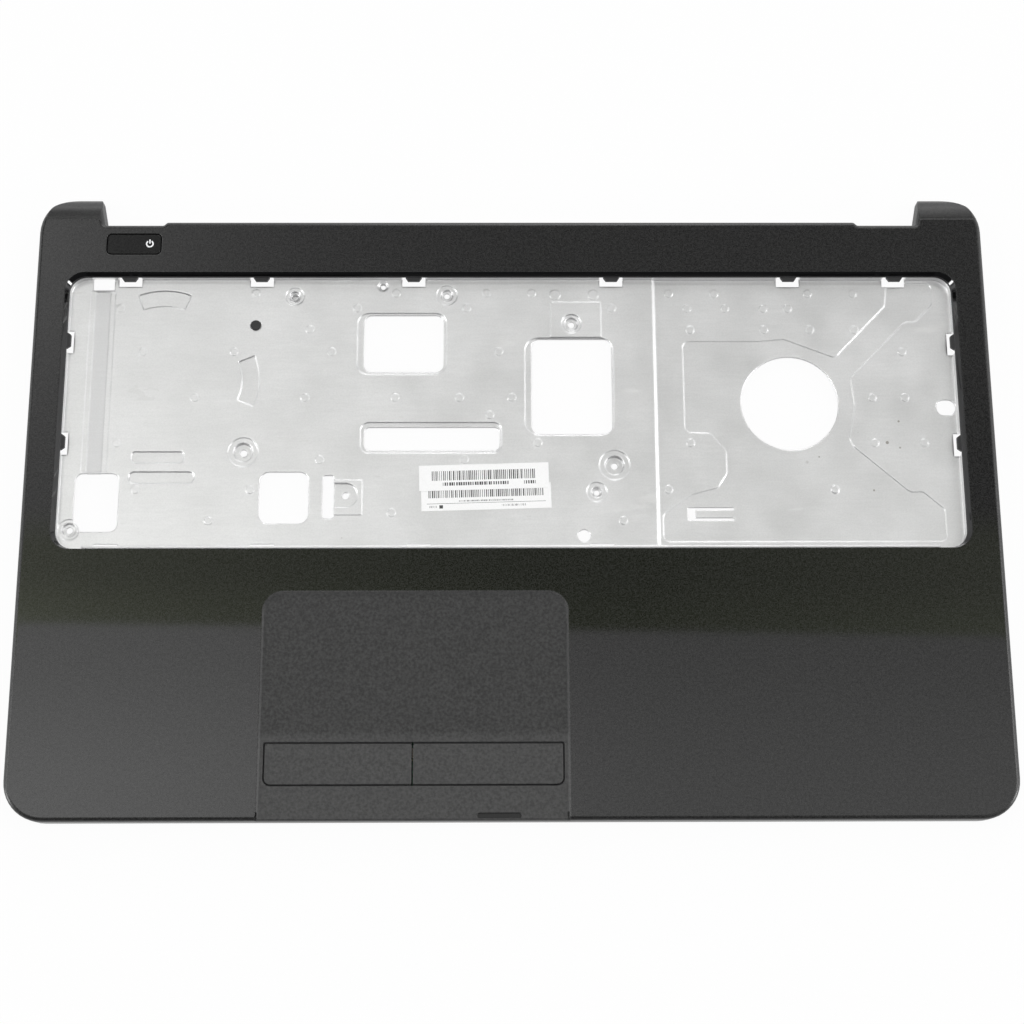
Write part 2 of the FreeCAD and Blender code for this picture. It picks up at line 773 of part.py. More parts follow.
def make_keyboard_plate():
    """The pressed tray: floor, joggle, drawn wall, flange, windows, cups, beads and dots."""
    wall_radius = foot_radius + sheet
    flange = prism(bay_rectangle(sheet + flange_width, wall_radius + flange_width),
                   flange_under, lip_z)
    body = prism(bay_rectangle(sheet, wall_radius), low_under, lip_z)
    body = body.cut(slab(floor_line(-sheet), cut_low))
    body = body.fuse(flange)
    hollow = prism(bay_rectangle(0, foot_radius), low_top, deck_z)
    body = body.cut(hollow.common(slab(floor_line(0), cut_high)))

    added = [prism(on_plate(pad, pad_radius), plate_top - sheet / 2, plate_top + pressed_step)
             for pad in (screw_pad, tab_pad)]
    cuts = []

    def press(below, above, depth):
        """A region pushed down in the sheet: what shows below it and what is cut above it."""
        top = floor_at(above[0][0])
        added.append(prism(below, top - sheet - depth, top - sheet / 2))
        cuts.append(prism(above, top - depth, deck_z))

    for opening, rim in stepped_windows:
        press(on_plate(rim[:4], rim[4], press_wall), on_plate(rim[:4], rim[4]), window_step)
    region = [(x, plate_y(d), low_region_radius) for x, d in low_region]
    press(region, region, pressed_step)
    press(on_plate(channel, channel_radius), on_plate(channel, channel_radius), pressed_step)
    inner_channel = (channel[0] + channel_inner_inset, channel[1] - channel_inner_inset,
                     channel[2], channel[3])
    press(on_plate(inner_channel, channel_radius, press_wall),
          on_plate(inner_channel, channel_radius), 2 * pressed_step)
    for bead in beads:
        press(on_plate(bead[:4], bead[4], press_wall), on_plate(bead[:4], bead[4]), bead_depth)
    for bead in curved_beads:
        added.append(lifted(curved_face(bead, press_wall), plate_under - bead_depth,
                            plate_under + sheet / 2))
        cuts.append(lifted(curved_face(bead, 0), plate_top - bead_depth, deck_z))
    press(half_round(tab_recess, press_wall), half_round(tab_recess), tab_recess_depth)

    for x, forward, ring, cup, depth, hole, is_open in cups:
        y = plate_y(forward)
        top = floor_at(x)
        floor = top - cup_ring_step - depth
        added.append(rod(x, y, ring, top - sheet - cup_ring_step, top - sheet / 2))
        added.append(rod(x, y, cup + sheet, floor - sheet, top - sheet / 2))
        cuts.append(rod(x, y, ring, top - cup_ring_step, deck_z))
        cuts.append(Part.makeCone(cup - cup_draft, cup, depth, Vector(x, y, floor)))
        if is_open:
            cuts.append(rod(x, y, hole, cut_low, top))
        else:
            added.append(rod(x, y, hole + sheet / 2, floor - sheet - blind_depth,
                             floor - sheet / 2))
            cuts.append(rod(x, y, hole, floor - blind_depth - sheet / 2, top))

    raised = []
    for forward, places in dot_rows.items():
        for x in places:
            raised.append(rod(x, plate_y(forward), dot_radius, floor_at(x) - sheet / 2,
                              floor_at(x) + dot_height))
    for x, forward in large_dots:
        raised.append(rod(x, plate_y(forward), large_dot_radius, plate_top - sheet / 2,
                          plate_top + dot_height))
    lip_front = foot_front + front_lip_gap
    lip_x = foot_x - front_lip_margin
    raised.append(box(-lip_x, joggle_x, lip_front, lip_front + sheet, plate_under,
                      plate_top + front_lip_height))
    raised.append(box(joggle_x, lip_x, lip_front, lip_front + sheet, low_under,
                      plate_top + front_lip_height))

    through = []
    for opening, rim in stepped_windows:
        through.append(prism(on_plate(opening[:4], opening[4]), cut_low, deck_z))
    for x0, x1, nearer, further, radius in plain_openings:
        opening = prism(on_plate((x0, x1, nearer, further), radius), cut_low, deck_z)
        for x, forward, ring, cup, depth, hole, is_open in cups:
            opening = opening.cut(rod(x, plate_y(forward), cup + sheet, cut_low, deck_z))
        through.append(opening)
    through.append(prism(on_plate(plain_window, pad_radius), cut_low, deck_z))
    for x, forward, radius in (round_hole, locating_hole, tab_hole):
        through.append(rod(x, plate_y(forward), radius, cut_low, deck_z))
    through.append(rod(plug_place[0], plate_y(plug_place[1]), plug_radius, cut_low, deck_z))
    x0, x1, nearer, further = spring_tab
    for region in ((x0, x0 + spring_end_gap, nearer, further),
                   (x0, x1, nearer, nearer + spring_slit),
                   (x0, x1, further - spring_slit, further)):
        through.append(prism(on_plate(region, slit_radius), cut_low, deck_z))
    reach, nearer, further = side_oval
    oval = (foot_x - reach, foot_x - sheet / 2, nearer, further)
    through.append(prism(on_plate(oval, round_end_share * (further - nearer)), cut_low, deck_z))
    for x in front_slots_x:
        slot_back = lip_front + sheet + front_slot_width
        through.append(box(x - window_length / 2, x + window_length / 2, lip_front + sheet,
                           slot_back, cut_low, deck_z))
    half = window_length / 2
    for x, y, side in edge_windows():
        reach = window_back_reach if side == "back" else window_side_reach
        shape = box(-half, half, -reach, window_outer_reach, cut_low, deck_z)
        through.append(turned(shape, x, y, side))
    for x, y in stake_places():
        through.append(rod(x, y, stake_radius + stake_clearance, cut_low, deck_z))

    body = body.fuse(added)
    body = body.cut(cuts)
    body = body.fuse(raised)
    body = body.cut(through)
    return body.removeSplitter()


def make_plate_plug():
    """A rubber plug pressed in a hole of the plate, with a flange below the sheet."""
    x = plug_place[0]
    y = plate_y(plug_place[1])
    body = rod(x, y, plug_radius - fit_gap, plate_under - plug_flange, plate_top + plug_proud)
    flange = rod(x, y, plug_radius + plug_flange, plate_under - plug_flange, plate_under)
    head = rod(x, y, plug_radius - fit_gap, plate_top, plate_top + plug_proud)
    return fuse_all(body, [flange, head])


def make_label(x, forward, z):
    """A printed paper label, laid at a small angle."""
    label = box(-label_length / 2, label_length / 2, -label_width / 2, label_width / 2,
                z, z + label_thickness)
    label.rotate(Vector(0, 0, 0), UP, label_angle)
    label.translate(Vector(x, plate_y(forward), 0))
    return label


def round_top(solid, top, radius):
    """Soften the edges around a cap's top face."""
    edges = [e for e in solid.Edges if all(abs(v.Z - top) < same_place for v in e.Vertexes)]
    return solid.makeFillet(radius, edges)


def make_key(x0, x1, pusher_x):
    """One touchpad button: a hollow cap with a flange under the deck and a pusher."""
    left = x0 + (key_gap if x0 <= key_left else key_gap / 2)
    right = x1 - (key_gap if x1 >= key_right else key_gap / 2)
    front = key_front
    flange_top = under_deck - running_gap
    flange_low = flange_top - key_flange_height
    radius_left = key_front_radius - key_gap if x0 <= key_left else key_back_radius
    radius_right = key_front_radius - key_gap if x1 >= key_right else key_back_radius
    corners = [(left, front + key_gap, radius_left), (right, front + key_gap, radius_right),
               (right, key_back - key_gap, key_back_radius),
               (left, key_back - key_gap, key_back_radius)]
    cap = round_top(prism(corners, flange_low, touch_z), touch_z, cap_edge_radius)
    flange_left = x0 - key_flange if x0 <= key_left else left
    flange_right = x1 + key_flange if x1 >= key_right else right
    flange = prism(rectangle(flange_left, flange_right, front - key_flange,
                             key_back + key_flange, key_back_radius), flange_low, flange_top)
    hollow = prism(rectangle(left + key_side_wall, right - key_side_wall,
                             front + key_gap + key_side_wall, key_back - key_gap - key_side_wall,
                             key_back_radius), cut_low, touch_z - key_top_wall)
    middle = (front + key_back) / 2
    half = pusher_size / 2
    pusher = box(pusher_x - half, pusher_x + half, middle - half, middle + half, key_pusher_z,
                 touch_z - key_top_wall / 2)
    return fuse_all(cap.fuse(flange).cut(hollow), [pusher])


def make_switch(x, y, board_top):
    """The body of a push switch, bored for its plunger."""
    half = switch_size / 2
    body = prism(rectangle(x - half, x + half, y - half, y + half, switch_corner_radius),
                 board_top, board_top + switch_height)
    bore_low = board_top + switch_height - plunger_in_body - key_travel - running_gap
    return body.cut(rod(x, y, plunger_radius + plunger_clearance, bore_low,
                        cut_high))


def make_plunger(x, y, board_top):
    """The plunger of a push switch, which goes down with its button."""
    low = board_top + switch_height - plunger_in_body
    return rod(x, y, plunger_radius, low, board_top + switch_height + plunger_proud)


def make_socket(x, y, under, above):
    """A flat-ribbon socket, with its slot open towards the back."""
    x0 = x - socket_length / 2
    y0 = y - socket_width / 2
    low, high = min(under, above), max(under, above)
    body = box(x0, x0 + socket_length, y0, y0 + socket_width, low, high)
    middle = (low + high) / 2
    slot = box(x0 + socket_wall, x0 + socket_length - socket_wall, y0 + socket_wall,
               y0 + 2 * socket_width, middle - socket_slot / 2, middle + socket_slot / 2)
    return body.cut(slot)


def make_screw(x, y, seat_z, screw_radius, length, head_radius, head_height):
    """A pan-head screw driven upwards, its head under seat_z, with a cross recess."""
    shank = rod(x, y, screw_radius, seat_z, seat_z + length)
    head = rod(x, y, head_radius, seat_z - head_height, seat_z)
    slot = head_radius * recess_length_share
    width = head_radius * recess_width_share
    depth = seat_z - head_height / 2
    cross = [box(x - slot, x + slot, y - width, y + width, cut_low, depth),
             box(x - width, x + width, y - slot, y + slot, cut_low, depth)]
    return fuse_all(shank, [head]).cut(cross)


def make_insert(x, y, radius, bore, low, length):
    """A brass insert with a groove round its middle."""
    body = rod(x, y, radius, low, low + length)
    middle = low + length / 2
    half = length * insert_groove_share / 2
    groove = rod(x, y, 2 * radius, middle - half, middle + half).cut(
        rod(x, y, radius - insert_groove_depth, middle - half, middle + half))
    return body.cut([groove, rod(x, y, bore, cut_low, cut_high)])


# The power button: cap, light guide, switch, lamp, socket, board and screws
power_y = (power_front + power_back) / 2
icon_x = power_right - icon_inset
icon_y = power_y + icon_shift
power_switch_x = power_left + power_switch_inset
power_flange_top = under_deck - running_gap
power_flange_low = power_flange_top - key_flange_height
icon_disc_low = under_deck
icon_disc_top = icon_disc_low + icon_disc_height


def power_symbol(grow, low, high):
    """A ring that is open at its back, and a bar that stands in the gap."""
    ring = rod(icon_x, icon_y, icon_radius + grow, low, high).cut(
        rod(icon_x, icon_y, icon_radius - icon_line - grow, low, high))
    spread = icon_radius * math.tan(math.radians(icon_gap_angle)) - grow
    reach = icon_y + 2 * icon_radius
    corners = [(icon_x, icon_y, 0), (icon_x + 2 * spread, reach, 0),
               (icon_x - 2 * spread, reach, 0)]
    ring = ring.cut(prism(corners, low, high))
    half = icon_line / 2 + grow
    bar = box(icon_x - half, icon_x + half, icon_y + icon_bar_start - grow,
              icon_y + icon_radius + icon_bar_reach + grow, low, high)
    return [ring, bar]


def make_power_icon():
    disc = rod(icon_x, icon_y, icon_radius + icon_disc_rim, icon_disc_low, icon_disc_top)
    stem_low = power_board_top + led_height + power_travel + running_gap
    stem = rod(icon_x, icon_y, icon_stem_radius, stem_low, icon_disc_top)
    symbol = power_symbol(0, icon_disc_top - icon_disc_height / 2, deck_z)
    return fuse_all(disc, [stem] + symbol)


def make_power_button():
    """The power button's cap, with a flange, a pusher and the light guide's seat."""
    cap = round_top(prism(power_corners(-power_gap), power_flange_low, deck_z), deck_z,
                    cap_edge_radius)
    flange = prism(power_corners(key_flange), power_flange_low, power_flange_top)
    half = pusher_size / 2
    pusher = box(power_switch_x - half, power_switch_x + half, power_y - half, power_y + half,
                 power_pusher_z, power_flange_top)
    solid = cap.fuse([flange, pusher])
    seat = rod(icon_x, icon_y, icon_radius + icon_disc_rim + fit_gap, cut_low, icon_disc_top)
    symbol = power_symbol(fit_gap, icon_disc_top - icon_disc_height / 2, cut_high)
    return solid.cut([seat] + symbol).removeSplitter()


def make_power_board():
    (left, y), (right, _) = power_screw_places()
    reach = bracket_boss_radius
    board = prism(rectangle(left - reach, right + reach, power_front - power_board_margin,
                            power_back + power_board_margin, bracket_boss_radius / 2),
                  power_board_under, power_board_top)
    return board.cut([rod(x, y, small_screw_radius + stake_clearance, cut_low, cut_high)
                      for x in (left, right)])


def make_button_board():
    """The board that carries both touchpad switches, between the bracket's bosses."""
    margin = button_board_margin
    return prism(rectangle(key_left - margin, key_right + margin, key_front - margin,
                           key_back + margin, margin), key_board_under, key_board_top)


def make_bracket():
    """A folded steel bracket: a flat plate on four bosses, stiffened by two turned edges."""
    left = key_left - bracket_side
    right = key_right + bracket_side
    front = key_front - bracket_end
    back = key_back + bracket_end
    plate = prism(rectangle(left, right, front, back, bracket_boss_radius), bracket_under,
                  key_board_under)
    rib_ends = 2 * bracket_boss_inset
    ribs = []
    for y in (front, back - bracket_sheet):
        ribs.append(box(left + rib_ends, right - rib_ends, y, y + bracket_sheet,
                        bracket_under, bracket_under + bracket_rib))
    holes = [rod(x, y, small_screw_radius + stake_clearance, cut_low, cut_high)
             for x, y in bracket_boss_places()]
    half = bracket_window_length / 2
    for i in (-1, 0, 1):
        x = touch_x + i * bracket_window_pitch
        holes.append(prism(rectangle(x - half, x + half, front + bracket_window_margin,
                                     back - bracket_window_margin, bracket_boss_radius),
                           cut_low, cut_high))
    return fuse_all(plate, ribs).cut(holes)


save(make_top_cover(), "top_cover")
save(make_keyboard_plate(), "keyboard_plate")
save(make_plate_plug(), "plate_plug")
save(make_label(*label_places[0], plate_top), "lower_label")
save(make_label(*label_places[1], plate_top + label_thickness), "upper_label")

save(make_power_button(), "power_button")
save(make_power_icon(), "power_icon")
save(make_power_board(), "power_board")
save(make_switch(power_switch_x, power_y, power_board_top), "power_switch")
save(make_plunger(power_switch_x, power_y, power_board_top), "power_plunger")
save(box(icon_x - led_size / 2, icon_x + led_size / 2, icon_y - led_size / 4,
         icon_y + led_size / 4, power_board_top, power_board_top + led_height), "power_lamp")
save(make_socket((power_left + power_right) / 2, power_front + socket_width / 2,
                 power_board_under, power_board_under - socket_height), "power_socket")
save(group([make_screw(x, y, power_board_under, small_screw_radius,
                       board_thickness + small_insert_length - screw_tip_gap, small_head_radius,
                       small_head_height) for x, y in power_screw_places()]), "power_screws")

sensor_board_under = under_deck - tape_thickness - board_thickness
sensor_y = (sensor_front + sensor_back) / 2
half_chip = chip_size / 2
chip_x = touch_x + socket_length / 2 + chip_socket_gap + half_chip
save(box(sensor_left, sensor_right, sensor_front, sensor_back,
         under_deck - tape_thickness, under_deck), "touchpad_adhesive")
save(box(sensor_left, sensor_right, sensor_front, sensor_back,
         sensor_board_under, under_deck - tape_thickness), "touchpad_board")
save(prism(rectangle(chip_x - half_chip, chip_x + half_chip, sensor_y - half_chip,
                     sensor_y + half_chip, running_gap),
           sensor_board_under - chip_height, sensor_board_under), "touchpad_controller")
save(make_socket(touch_x, sensor_back - socket_width, sensor_board_under,
                 sensor_board_under - socket_height), "touchpad_socket")

left_switch_x = (key_left + key_split) / 2
right_switch_x = (key_right + key_split) / 2
key_y = (key_front + key_back) / 2
save(make_key(key_left, key_split, left_switch_x), "left_button")
save(make_key(key_split, key_right, right_switch_x), "right_button")
save(make_button_board(), "button_board")
save(make_switch(left_switch_x, key_y, key_board_top), "left_switch")
save(make_plunger(left_switch_x, key_y, key_board_top), "left_plunger")
save(make_switch(right_switch_x, key_y, key_board_top), "right_switch")
save(make_plunger(right_switch_x, key_y, key_board_top), "right_plunger")
save(make_socket(key_split, key_back - socket_width, key_board_top,
                 key_board_top + socket_height), "button_socket")
save(make_bracket(), "touchpad_bracket")
save(group([make_screw(x, y, bracket_under, small_screw_radius,
                       bracket_sheet + small_insert_length - screw_tip_gap, small_head_radius,
                       small_head_height) for x, y in bracket_boss_places()]), "bracket_screws")

small_inserts = [make_insert(x, y, small_insert_radius, small_screw_radius + fit_gap,
                             key_board_under, small_insert_length)
                 for x, y in bracket_boss_places()]
small_inserts += [make_insert(x, y, small_insert_radius, small_screw_radius + fit_gap,
                              power_board_top, small_insert_length)
                  for x, y in power_screw_places()]
save(group(small_inserts), "small_inserts")
save(group([make_insert(x, y, base_insert_radius, base_screw_radius, base_boss_lift,
                        base_insert_length) for x, y in base_boss_places()]), "base_inserts")
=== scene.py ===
# %% [markdown]
# # A laptop's palm rest
# The part is the top cover of a laptop: a charcoal moulding with a recessed touchpad, and in its
# keyboard bay a pressed silver sheet. The solids come in as a fixed frame, already in place and in
# metres. This script gives them their finishes, adds small parts that repeat, and lights them as
# the photograph does.

# %% Load the frame
import bpy
import math
from mathutils import Matrix, Vector


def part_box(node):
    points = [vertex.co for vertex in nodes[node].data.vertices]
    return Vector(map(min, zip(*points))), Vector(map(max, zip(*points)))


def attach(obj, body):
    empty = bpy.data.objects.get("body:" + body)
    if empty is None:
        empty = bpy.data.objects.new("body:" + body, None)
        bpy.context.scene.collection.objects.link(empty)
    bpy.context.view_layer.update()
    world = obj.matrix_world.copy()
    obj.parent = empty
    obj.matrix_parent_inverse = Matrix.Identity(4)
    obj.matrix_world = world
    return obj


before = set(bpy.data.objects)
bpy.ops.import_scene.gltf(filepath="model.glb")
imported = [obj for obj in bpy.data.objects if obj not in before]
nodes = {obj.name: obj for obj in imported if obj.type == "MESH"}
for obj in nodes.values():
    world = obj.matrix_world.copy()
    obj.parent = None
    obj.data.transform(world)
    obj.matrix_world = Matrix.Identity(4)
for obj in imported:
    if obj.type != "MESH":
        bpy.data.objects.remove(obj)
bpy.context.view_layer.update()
mm = 0.001

# %% [markdown]
# ## Places that the finishes need
# A finish often changes at an edge of the part, such as the foot of a bevel. Those edges are read
# from the boxes of the solids, so that a finish stays on its edge when the part changes size.

# %% Places
cover_low, cover_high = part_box("top_cover")
plate_low, plate_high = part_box("keyboard_plate")
key_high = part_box("left_button")[1]
deck_z = cover_high[2]
wall = 1.8 * mm
flange_width = 6.8 * mm
bevel_width = 1.5 * mm
bay_x = plate_high[0] - flange_width + bevel_width
bay_back = plate_high[1] - flange_width + bevel_width
bay_front = plate_low[1] + flange_width - bevel_width / 3
board_low, board_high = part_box("touchpad_board")
side_margin = 4.35 * mm
back_margin = 4.0 * mm
touch_low_x = board_low[0] - side_margin
touch_high_x = board_high[0] + side_margin
touch_back = board_high[1] + back_margin
scoop_middle = cover_low[1] + 1.9 * mm
scoop_half = 1.0 * mm
scoop_low = (-13.2 * mm, scoop_middle - scoop_half)
scoop_high = (3.2 * mm, scoop_middle + scoop_half)
ear_roll_start = cover_high[1] - 10.2 * mm
print("deck at", round(deck_z / mm, 2), "bay", round(bay_x / mm, 1), round(bay_back / mm, 1),
      round(bay_front / mm, 1))

# %% [markdown]
# ## The camera
# The photograph looks down on the part from above the user's lap, a little to one side and with a
# slight roll. The three angles, the aim and the distance were solved from the cover's corners, so
# the picture can be laid over the photograph.

# %% Camera
view_azimuth = math.radians(-1.827)
view_elevation = math.radians(75.79)
view_roll = math.radians(1.694)
view_aim = Vector((-0.005, -7.25, 9.0)) * mm
view_distance = 674.5 * mm
view_lens = 61.91

toward_camera = Vector((math.sin(view_azimuth) * math.cos(view_elevation),
                        -math.cos(view_azimuth) * math.cos(view_elevation),
                        math.sin(view_elevation)))
level_right = Vector((math.cos(view_azimuth), math.sin(view_azimuth), 0))
level_up = toward_camera.cross(level_right)
right = math.cos(view_roll) * level_right + math.sin(view_roll) * level_up
up = math.cos(view_roll) * level_up - math.sin(view_roll) * level_right
camera_data = bpy.data.cameras.new("camera")
camera_data.lens = view_lens
camera_data.sensor_width = 36
camera_data.clip_end = 20
camera = bpy.data.objects.new("camera", camera_data)
bpy.context.scene.collection.objects.link(camera)
turn = Matrix((right, up, toward_camera)).transposed().to_4x4()
camera.matrix_world = Matrix.Translation(view_aim + toward_camera * view_distance) @ turn
bpy.context.scene.camera = camera
print("camera at", [round(v / mm, 1) for v in camera.location])

# %% [markdown]
# ## Building node trees in a few words
# Every finish below is a tree of nodes. These helpers put a node in a tree, fill its inputs with
# plain values or with links, and make a reusable group with named inputs and outputs.

# %% Helpers for node trees
def put(tree, kind, inputs=None, **settings):
    made = tree.nodes.new(kind)
    for name, value in settings.items():
        setattr(made, name, value)
    for name, value in (inputs or {}).items():
        if isinstance(value, bpy.types.NodeSocket):
            tree.links.new(value, made.inputs[name])
        else:
            made.inputs[name].default_value = value
    return made


def calc(tree, operation, *values, clamp=False):
    return put(tree, "ShaderNodeMath", dict(enumerate(values)), operation=operation,
               use_clamp=clamp).outputs[0]


def ramp(tree, value, low, high, to_low=0.0, to_high=1.0, smooth=True):
    """Map a value from one range to another, held at both ends."""
    kind = "SMOOTHSTEP" if smooth else "LINEAR"
    return put(tree, "ShaderNodeMapRange",
               {"Value": value, "From Min": low, "From Max": high, "To Min": to_low,
                "To Max": to_high}, interpolation_type=kind, clamp=True).outputs["Result"]


def mix_colour(tree, amount, first, second):
    made = put(tree, "ShaderNodeMix", {"Factor": amount}, data_type="RGBA")
    for socket, value in ((made.inputs[6], first), (made.inputs[7], second)):
        if isinstance(value, bpy.types.NodeSocket):
            tree.links.new(value, socket)
        else:
            socket.default_value = (*value, 1.0)
    return made.outputs[2]


def shader_group(name, inputs, outputs):
    tree = bpy.data.node_groups.new(name, "ShaderNodeTree")
    for socket_name, kind, value in inputs:
        socket = tree.interface.new_socket(name=socket_name, in_out="INPUT", socket_type=kind)
        socket.default_value = value
    for socket_name, kind in outputs:
        tree.interface.new_socket(name=socket_name, in_out="OUTPUT", socket_type=kind)
    return tree, tree.nodes.new("NodeGroupInput"), tree.nodes.new("NodeGroupOutput")


def use_group(tree, group, **inputs):
    made = put(tree, "ShaderNodeGroup", node_tree=group)
    for name, value in inputs.items():
        socket = made.inputs[name.replace("_", " ")]
        if isinstance(value, bpy.types.NodeSocket):
            tree.links.new(value, socket)
        else:
            socket.default_value = value
    return made.outputs


FLOAT = "NodeSocketFloat"
POINT = "NodeSocketVector"

# %% [markdown]
# ## Shared effects
# Four effects come back in the finishes: a grain that is fine or slow, a mask that is one inside
# a box, scattered specks of dust, and long thin scuffs. Each is a group that reads the part's own
# coordinates, so it stays put on the surface from any side.

# %% Grain and mottle
grain_group, start, end = shader_group(
    "Fine grain", [("Size", FLOAT, 0.0005), ("Contrast", FLOAT, 1.0), ("Stretch", POINT, (1, 1, 1))],
    [("Value", FLOAT)])
place = put(grain_group, "ShaderNodeTexCoord").outputs["Object"]
place = put(grain_group, "ShaderNodeVectorMath", {0: place, 1: start.outputs["Stretch"]},
            operation="MULTIPLY").outputs[0]
scale = calc(grain_group, "DIVIDE", 1.0, start.outputs["Size"])
noise = put(grain_group, "ShaderNodeTexNoise", {"Vector": place, "Scale": scale, "Detail": 2.0,
                                                "Roughness": 0.6}).outputs["Fac"]
centred = calc(grain_group, "SUBTRACT", noise, 0.5)
value = calc(grain_group, "MULTIPLY_ADD", centred, start.outputs["Contrast"], 0.5, clamp=True)
grain_group.links.new(value, end.inputs["Value"])

# %% Mask inside a box
box_group, start, end = shader_group(
    "Inside box", [("Low", POINT, (0, 0, 0)), ("High", POINT, (1, 1, 1)), ("Soft", FLOAT, 0.0002)],
    [("Mask", FLOAT)])
place = put(box_group, "ShaderNodeTexCoord").outputs["Object"]
below = put(box_group, "ShaderNodeVectorMath", {0: start.outputs["Low"], 1: place},
            operation="SUBTRACT").outputs[0]
above = put(box_group, "ShaderNodeVectorMath", {0: place, 1: start.outputs["High"]},
            operation="SUBTRACT").outputs[0]
outside = put(box_group, "ShaderNodeVectorMath", {0: below, 1: above}, operation="MAXIMUM").outputs[0]
parts = put(box_group, "ShaderNodeSeparateXYZ", {0: outside})
furthest = calc(box_group, "MAXIMUM", calc(box_group, "MAXIMUM", parts.outputs[0], parts.outputs[1]),
                parts.outputs[2])
box_group.links.new(ramp(box_group, furthest, 0.0, start.outputs["Soft"], 1.0, 0.0, smooth=False),
                    end.inputs["Mask"])

# %% Dust specks and scuffs
dust_group, start, end = shader_group(
    "Dust specks", [("Spacing", FLOAT, 0.02), ("Size", FLOAT, 0.0003), ("Share", FLOAT, 0.3)],
    [("Mask", FLOAT)])
place = put(dust_group, "ShaderNodeTexCoord").outputs["Object"]
cells = put(dust_group, "ShaderNodeTexVoronoi",
            {"Vector": place, "Scale": calc(dust_group, "DIVIDE", 1.0, start.outputs["Spacing"])})
speck = calc(dust_group, "MULTIPLY", cells.outputs["Distance"], start.outputs["Spacing"])
chance = put(dust_group, "ShaderNodeSeparateColor", {0: cells.outputs["Color"]}).outputs[0]
size = calc(dust_group, "MULTIPLY", start.outputs["Size"],
            calc(dust_group, "LESS_THAN", chance, start.outputs["Share"]))
dust_group.links.new(ramp(dust_group, calc(dust_group, "SUBTRACT", speck, size), -0.00012, 0.0,
                          1.0, 0.0), end.inputs["Mask"])

scuff_group, start, end = shader_group(
    "Scuffs", [("Direction", POINT, (1, 1, 1)), ("Threshold", FLOAT, 0.7)], [("Mask", FLOAT)])
place = put(scuff_group, "ShaderNodeTexCoord").outputs["Object"]
place = put(scuff_group, "ShaderNodeVectorMath", {0: place, 1: start.outputs["Direction"]},
            operation="MULTIPLY").outputs[0]
streak = put(scuff_group, "ShaderNodeTexNoise", {"Vector": place, "Scale": 60.0, "Detail": 4.0,
                                                 "Roughness": 0.75}).outputs["Fac"]
limit = calc(scuff_group, "ADD", start.outputs["Threshold"], 0.05)
scuff_group.links.new(ramp(scuff_group, streak, start.outputs["Threshold"], limit),
                      end.inputs["Mask"])


# %% Start of a finish
def finish(name, **settings):
    """A material with its Principled shader, and the shader's plain values."""
    material = bpy.data.materials.new(name)
    material.use_nodes = True
    shader = material.node_tree.nodes["Principled BSDF"]
    for key, value in settings.items():
        socket = shader.inputs[key.replace("_", " ")]
        socket.default_value = (*value, 1.0) if isinstance(value, tuple) else value
    return material, material.node_tree, shader


def feed(tree, shader, **sockets):
    for key, value in sockets.items():
        tree.links.new(value, shader.inputs[key.replace("_", " ")])


def relief(tree, shader, height, distance, edge=0.0):
    """Bumps of a given height in metres, over edges that are worn or drawn round."""
    bump = put(tree, "ShaderNodeBump", {"Height": height, "Distance": distance})
    if edge:
        rounded = put(tree, "ShaderNodeBevel", {"Radius": edge}, samples=6)
        tree.links.new(rounded.outputs[0], bump.inputs["Normal"])
    tree.links.new(bump.outputs[0], shader.inputs["Normal"])


# %% [markdown]
# ## The charcoal film
# The deck is covered by a printed film with a smooth clear face, which mirrors the studio faintly
# over a fine print. The touchpad's recess and its buttons are matt, the bay's bevel is near black,
# the hollow of the thumb scoop is painted near black as painted shade, the outer side and the roll
# of the hinge ears are satin, and the hidden side is bare moulding. These could be six materials on
# six groups of faces, but the solid has no such groups, so one material holds all of them and
# chooses by where on the part a point lies.

# %% Regions of the cover
def cover_regions(tree):
    """Masks that are one on a region of the cover and nought elsewhere."""
    def inside(low, high, soft=0.02 * mm):
        return use_group(tree, box_group, Low=low, High=high, Soft=soft)["Mask"]

    film_foot = deck_z - 0.03 * mm
    slack = 0.05 * mm
    place = put(tree, "ShaderNodeTexCoord").outputs["Object"]
    parts = put(tree, "ShaderNodeSeparateXYZ", {0: place})
    forward, upward = parts.outputs[1], parts.outputs[2]
    recess = inside((touch_low_x, cover_low[1] - mm, deck_z - 3 * mm),
                    (touch_high_x, touch_back, film_foot))
    bevel = inside((-bay_x, bay_front, 4 * mm), (bay_x, bay_back, film_foot))
    # Painted shade: this mask marks the hollow of the thumb scoop, which is coloured near black for the
    # shade that falls in it.
    scoop = inside((*scoop_low, deck_z - 2 * mm), (*scoop_high, deck_z - 0.6 * mm), 0.05 * mm)
    under = inside((cover_low[0] + wall - slack, cover_low[1] + wall - slack, slack),
                   (cover_high[0] - wall + slack, cover_high[1] - wall + slack,
                    deck_z - wall + slack))
    foot = inside((-1, -1, -1), (1, 1, slack))
    lower = ramp(tree, upward, deck_z - 0.06 * mm, film_foot, 1.0, 0.0)
    outer_side = calc(tree, "SUBTRACT", lower, calc(tree, "MAXIMUM", bevel, recess), clamp=True)
    ear_roll = ramp(tree, forward, ear_roll_start - 0.2 * mm, ear_roll_start, smooth=False)
    return {"recess": recess,
            "strip": ramp(tree, forward, key_high[1], key_high[1] + 4 * mm, 1.0, 0.0),
            # The black mask joins the bevel, which is black in its own right, and the scoop, whose black
            # is painted shade.
            "black": calc(tree, "MAXIMUM", bevel, scoop),
            "satin": calc(tree, "MAXIMUM", ear_roll, outer_side),
            "hidden": calc(tree, "MAXIMUM", under, foot)}


# %% [markdown]
# The film's print is two grains laid over each other, a fine one and a coarse one. On the touchpad
# the coarse grain is the stronger, and the strip with the buttons is a little lighter. Every
# step below mixes one region over what came before it.

